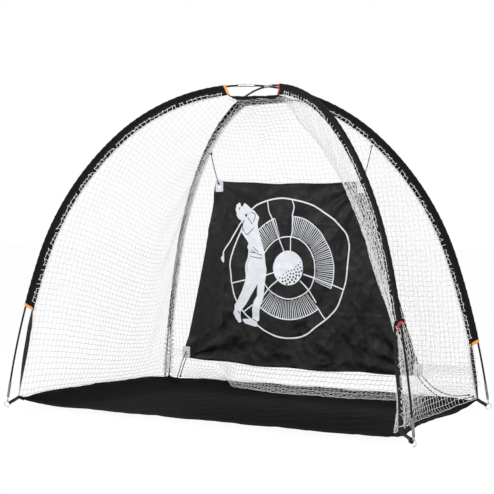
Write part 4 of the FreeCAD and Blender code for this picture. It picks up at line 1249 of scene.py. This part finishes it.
def edge_pull(u, v):
    """Moves the sheet's outline: its top edge sags, its bottom edge bows down, its sides draw in."""
    arch = 4 * u * (1 - u)
    down = 0.014 * arch * smooth_step((v - 0.5) * 2) * (0.85 + 0.15 * np.sin(u * 19))
    down = down + (0.013 * np.sin(math.pi * np.clip(u / 0.9, 0, 1)) + 0.003 * np.sin(u * 23)) * \
        smooth_step((0.5 - v) * 2) * np.minimum(arch * 3, 1)
    draw_in = 0.007 * 4 * v * (1 - v)
    across = draw_in * (smooth_step((0.3 - u) / 0.3) - smooth_step((u - 0.7) / 0.3))
    return across, -down


def target_grid():
    """Points of the sheet as (across, up), and how near each is to an edge, as a share."""
    side = np.array([0, 0.0025, 0.009, 0.0155, 0.0175, 0.0225])
    us = np.concatenate([side, np.linspace(0.03, 0.97, 190), 1 - side[::-1]])
    vs = np.concatenate([side[:5], np.linspace(0.027, 0.973, 150), 1 - side[4::-1]])
    v, u = np.meshgrid(vs, us, indexing="ij")
    grid = patch(BOTTOM_LEFT, BOTTOM_RIGHT, TOP_LEFT, TOP_RIGHT, u, v)
    grid = grid + np.stack(edge_pull(u, v), axis=2)
    for centre in GROMMETS:
        away = grid - centre
        reach = np.linalg.norm(away, axis=2, keepdims=True)
        pushed = GROMMET_HOLE + reach * (1 - GROMMET_HOLE / GROMMET_PUSH)
        grid = np.where(reach < GROMMET_PUSH, centre + away / np.maximum(reach, 1e-5) * pushed, grid)
    return grid, np.min([u, 1 - u, v, 1 - v], axis=0)


def cloth_front(flat, lift):
    """Points on the cloth at (across, up), this far in front of its middle."""
    relief = target_relief(flat[..., 0], flat[..., 1])
    return np.stack([flat[..., 0], TARGET_PLANE - relief - lift, flat[..., 1]], axis=-1)


flat, edge_share = target_grid()
face_middle = flat.reshape(-1, 2)[grid_faces(*flat.shape[:2])].mean(axis=1)
holed = np.min([np.linalg.norm(face_middle - centre, axis=1) for centre in GROMMETS],
               axis=0) < GROMMET_HOLE * 0.8
target_hem = HEM_EXTRA / (1 + np.exp((edge_share - HEM_SHARE) / 0.0007))
target_piece = place("target_sheet_look",
                     thick_sheet("target", cloth_front(flat, 0.0), TARGET_THICKNESS + target_hem,
                                 flat, drop=holed),
                     TARGET_CLOTH, "target_panel", replaces=("target_sheet",))
target_stitches = Strands()
stitch_sides(target_stitches, flat, 0.05,
             lambda point, extra: cloth_front(point, 0.0016 + extra))
stitches_piece = place("target_hem_stitches", target_stitches.mesh("stitches"), THREAD,
                       "target_panel")

# white cloth tabs folded over the corners, with a hole for the grommet


def tab_rings(centre, corner, face):
    """Rings from the grommet's hole out to the tab's edge, on one face of the sheet."""
    direction = circle(np.linspace(0, 2 * math.pi, 49)[:-1])
    sign = np.sign(centre - corner)
    ends = np.stack([corner - sign * 0.0012, corner + sign * TAB])
    low, high = ends.min(axis=0), ends.max(axis=0)
    with np.errstate(divide="ignore"):
        to_side = np.where(direction > 0, (high - centre) / direction, (low - centre) / direction)
    inner = centre + 0.0088 * direction
    outer = centre + direction * np.min(np.abs(to_side), axis=1)[:, None]
    rows = []
    for share in (0.0, 0.12, 0.3, 0.5, 0.7, 0.86, 0.97, 1.0):
        ring = mixed(inner, outer, share)
        lift = 0.0021 + 0.0004 * np.sin(ring[:, 0] * 420) * np.sin(ring[:, 1] * 350)
        lift = lift + 0.0005 * math.exp(-((share - 0.86) / 0.1) ** 2) - 0.0009 * (share > 0.99)
        rows.append(cloth_front(ring, 0.0) + np.array([0.0, -face, 0.0]) * lift[:, None])
    return np.array(rows)


tab_points, tab_quads, count = [], [], 0
tab_stitches = Strands()
for centre, corner in zip(GROMMETS, TARGET_CORNERS):
    for face in (1, -1):
        rings = tab_rings(centre, corner, face)
        quads = grid_faces(*rings.shape[:2], wrap=True)
        tab_quads.append((quads if face < 0 else quads[:, ::-1]) + count)
        tab_points.append(rings.reshape(-1, 3))
        count += len(tab_points[-1])
    sign = np.sign(centre - corner)
    near, far = corner + sign * 0.004, corner + sign * (TAB - 0.004)
    outline = np.array([near, (far[0], near[1]), far, (near[0], far[1]), near])
    for side in (outline[k:k + 2] for k in range(4)):
        runs = runs_along(side)

        def on_tab(distance, extra=0.0, side=side, runs=runs):
            return cloth_front(points_at(distance, side, runs), 0.0027 + extra)
        stitch_row(tab_stitches, on_tab, 0.0, runs[-1])
tab_points = np.vstack(tab_points)
tabs_piece = place("target_corner_tabs_look",
                   build_mesh("tabs", tab_points, np.vstack(tab_quads), tab_points[:, [0, 2]]),
                   TAB_CLOTH, "target_panel", replaces=("target_corner_tabs",))
tab_stitch_piece = place("target_tab_stitches", tab_stitches.mesh("stitches"), PALE_THREAD,
                         "target_panel")

# ---------------- the print

PRINT_CENTRE = np.array([-0.008, 0.602])
BALL, RING_1, RING_2 = 0.078, 0.140, 0.232
DIMPLES, GOLDEN_TURN = 72, 2.39996
OUTER_RING = [(-170, 303), (-156, 308), (-141, 311), (-121, 308), (-107, 312), (-96, 316),
              (-80, 315), (-72, 310), (-62, 295), (-50, 294), (-36, 299), (-26, 296), (-18, 292),
              (-8, 297), (6, 300), (16, 319), (23, 328), (30, 330), (38, 322), (48, 314),
              (57, 305), (63, 309), (73, 306), (85, 307), (98, 317), (107, 320), (116, 326),
              (124, 332), (145, 296), (163, 297), (178, 304), (190, 303)]
FIGURE = [
    (-256, 296), (-270, 284), (-274, 262), (-268, 248), (-268, 236), (-260, 224), (-238, 210),
    (-236, 188), (-238, 172), (-246, 160), (-230, 140), (-206, 110), (-212, 92), (-206, 76),
    (-212, 42), (-220, 18), (-222, -16), (-218, -38), (-218, -60), (-224, -78), (-246, -124),
    (-262, -152), (-280, -176), (-278, -194), (-286, -212), (-276, -236), (-260, -256),
    (-246, -252), (-250, -226), (-248, -208), (-242, -196), (-218, -170), (-198, -138),
    (-182, -114), (-158, -74), (-160, -96), (-162, -130), (-176, -154), (-184, -180),
    (-188, -232), (-198, -236), (-236, -238), (-238, -244), (-226, -258), (-192, -268),
    (-166, -272), (-158, -260), (-164, -248), (-150, -242), (-148, -204), (-144, -174),
    (-128, -136), (-122, -82), (-114, -38), (-112, -10), (-118, 30), (-120, 56), (-122, 74),
    (-136, 108), (-148, 146), (-158, 180), (-160, 204), (-154, 228), (-168, 244), (-180, 258),
    (-192, 264), (-214, 284), (-230, 294), (-236, 280), (-246, 276), (-250, 290)]
CLUB = [(-240, 210), (-268, 172), (-302, 122), (-332, 82), (-344, 58)]
CLUB_HEAD = [(-338, 74), (-340, 60), (-356, 40), (-352, 26), (-340, 18), (-336, 30), (-336, 60)]
FIGURE_HOLES = [
    [(-250, 278), (-256, 270), (-256, 258), (-250, 270)], [(-226, 240), (-212, 244), (-220, 226)]]
FIGURE_LINES = [
    [(-194, 252), (-174, 238), (-182, 208)],
    [(-228, 216), (-236, 194), (-236, 172), (-214, 148), (-180, 180)],
    [(-212, 228), (-188, 196)], [(-198, 70), (-164, 64), (-134, 56)],
    [(-194, 50), (-164, 44), (-132, 42)], [(-192, 82), (-170, 64)], [(-184, 92), (-156, 70)],
    [(-262, -200), (-252, -214)], [(-186, -238), (-164, -246)]]
SEAM_DOTS = [(-198, 52), (-204, 36), (-210, 18), (-212, 0), (-210, -16)]
RADIALS = [
    [(-24, 72), (-48, 132), (-66, 186), (-86, 228), (-100, 256), (-108, 302)],
    [(12, 76), (14, 134), (22, 164), (24, 230), (34, 274), (24, 306)],
    [(80, -26), (142, -44), (210, -66), (278, -90)], [(62, -56), (106, -100), (142, -152)],
    [(140, -166), (188, -224)], [(-48, -52), (-96, -90), (-140, -142)],
    [(-182, -170), (-230, -204)], [(-74, -22), (-114, -34)], [(-218, -58), (-292, -74)]]
HATCHED = [(-22, 83, 42), (107, 150, 17), (-130, -50, 30)]


def stroke(line, width):
    """Quads of a painted line, as flat polygons."""
    line = np.asarray(line, float)
    ahead = unit(np.gradient(line, axis=0))
    side = np.stack([-ahead[:, 1], ahead[:, 0]], axis=1) * (np.asarray(width) / 2)
    left, right = line + side, line - side
    return [[left[i], right[i], right[i + 1], left[i + 1]] for i in range(len(line) - 1)]


def disc(centre, radius, count=14):
    return np.asarray(centre) + radius * circle(np.arange(count) * 2 * math.pi / count)


def ring_line(radius, first=0.0, last=360.0, count=120, wobble=0.0015):
    turn = np.radians(np.linspace(first, last, count))
    shift = wobble * np.sin(3 * turn + radius * 70) + wobble * 0.6 * np.sin(7 * turn)
    return (radius + shift)[:, None] * circle(turn)


def print_piece(name, polygons, material, lift, cell=0.011):
    """Ink on the sheet: polygons about the print's centre, cut fine and laid on the cloth."""
    made = bmesh.new()
    for outline in polygons:
        ring = [Vector((*point, 0.0)) for point in outline]
        corners = [made.verts.new(point) for point in ring]
        for part in [range(4)] if len(ring) == 4 else tessellate_polygon([ring]):
            made.faces.new([corners[i] for i in part])
    reach = max(abs(v.co[k]) for v in made.verts for k in (0, 1))
    for axis in ((1, 0, 0), (0, 1, 0)):
        for k in np.arange(-reach, reach, cell):
            bmesh.ops.bisect_plane(made, geom=made.verts[:] + made.edges[:] + made.faces[:],
                                   plane_co=Vector(axis) * float(k), plane_no=axis, dist=1e-6)
    bmesh.ops.dissolve_degenerate(made, edges=made.edges[:], dist=1e-5)
    made.verts.index_update()
    flat_points = np.array([v.co[:2] for v in made.verts]) + PRINT_CENTRE
    for vertex, placed in zip(made.verts, cloth_front(flat_points, lift)):
        vertex.co = placed
    layer = made.loops.layers.uv.new("cloth")
    for facing in made.faces:
        for loop in facing.loops:
            loop[layer].uv = flat_points[loop.vert.index]
        facing.normal_update()
        if facing.normal.y > 0:
            facing.normal_flip()
    mesh = bpy.data.meshes.new(name)
    made.to_mesh(mesh)
    made.free()
    return place(name, mesh, material, "target_panel")


def millimetres(points):
    return np.array(points, float) / 1000


def blended(line, count=24):
    return smooth_through(millimetres(line), count)


ink, dark = [], []
outer_turn = np.radians(np.linspace(-180, 180, 181))
outer_radius = np.interp(np.degrees(outer_turn), *zip(*OUTER_RING)) / 1000
outer_radius = np.convolve(np.pad(outer_radius, 2, mode="wrap"), np.ones(5) / 5, "valid")
outer_radius[-1] = outer_radius[0]
outer = outer_radius[:, None] * circle(outer_turn)
ink += stroke(outer, 0.0068) + stroke(ring_line(RING_1), 0.0050)
for line in RADIALS:
    ink += stroke(blended(line), 0.0054)
draw = np.random.default_rng(5)
for first, last, count in HATCHED:
    ink += stroke(ring_line(RING_2, first, last, 60), 0.0050)
    for degree in np.linspace(first, last, count):
        direction = circle(math.radians(degree + draw.uniform(-0.3, 0.3)))
        start = RING_1 + draw.uniform(0.003, 0.009)
        ink += stroke([direction * start, direction * (start + RING_2) / 2,
                       direction * (RING_2 - 0.001)], [[0.0016], [0.0030], [0.0042]])
print_lines = print_piece("print_rings", ink, PRINT_INK, 0.00165)
print_ball = print_piece("print_ball", [disc((0, 0), BALL, 64)], PRINT_INK, 0.0019)
print_figure = print_piece("print_golfer", [millimetres(FIGURE), millimetres(CLUB_HEAD)]
                           + stroke(blended(CLUB), 0.0062), PRINT_INK, 0.0020)
# dimples spread in a spiral, painted where the ball is in shade
for k in range(DIMPLES):
    spot = BALL * 0.93 * math.sqrt((k + 0.5) / DIMPLES) * circle(k * GOLDEN_TURN)
    shade = (spot[0] * 0.6 - spot[1] - 0.008) / 0.05
    if shade > 0:
        dark.append(disc(spot, 0.0030 + 0.0023 * min(shade, 1), 9))
print_dimples = print_piece("print_dimples", dark, PRINT_LINE, 0.0023)
marks = [millimetres(hole) for hole in FIGURE_HOLES]
for line in FIGURE_LINES:
    marks += stroke(blended(line, 12), 0.0032)
for spot in blended(SEAM_DOTS, 12):
    marks.append(disc(spot, 0.0016, 8))
print_marks = print_piece("print_golfer_lines", marks, TARGET_CLOTH, 0.0024)

# ---------------- light and floor

AMBIENT = 0.75
world = bpy.data.worlds.new("studio")
scene.world = world
world.use_nodes = True
rays = add_node(world.node_tree, "LightPath").outputs["Is Camera Ray"]
seen = add_node(world.node_tree, "MapRange", Value=rays, To_Min=AMBIENT, To_Max=1.0)
feed(world.node_tree.nodes["Background"], Color=(1.0, 1.0, 1.0, 1.0),
     Strength=seen.outputs["Result"])
scene.view_settings.view_transform = "Standard"


def add_light(name, position, target, size, power):
    data = bpy.data.lights.new(name, "AREA")
    data.shape = "DISK"
    data.size = size
    data.energy = power
    lamp = bpy.data.objects.new(name, data)
    lamp.location = position
    aim = Vector(target) - Vector(position)
    lamp.rotation_euler = aim.to_track_quat("-Z", "Y").to_euler()
    scene.collection.objects.link(lamp)


add_light("key", (2.6, -3.4, 3.6), (0, 0, 0.7), 1.6, 120)
add_light("fill", (-3.3, -4.2, 2.5), (0, 0, 0.7), 1.4, 100)
add_light("rim", (0.5, 3.6, 3.4), (0, 0, 0.8), 2.4, 40)

PAPER, PAPER_DEPTH = 30, -0.0006
floor_mesh = build_mesh("studio_floor", [(-PAPER, -PAPER, PAPER_DEPTH), (PAPER, -PAPER, PAPER_DEPTH),
                                         (PAPER, PAPER, PAPER_DEPTH), (-PAPER, PAPER, PAPER_DEPTH)],
                        [(0, 1, 2, 3)])
floor_paper, _, _ = new_material("floor_paper", (0.04, 0.04, 0.04), 1.0, Specular_IOR_Level=0.0,
                                 Emission_Color=(1.0, 1.0, 1.0, 1.0), Emission_Strength=0.955)
floor_mesh.materials.append(floor_paper)
studio_floor = bpy.data.objects.new("studio_floor", floor_mesh)
scene.collection.objects.link(studio_floor)
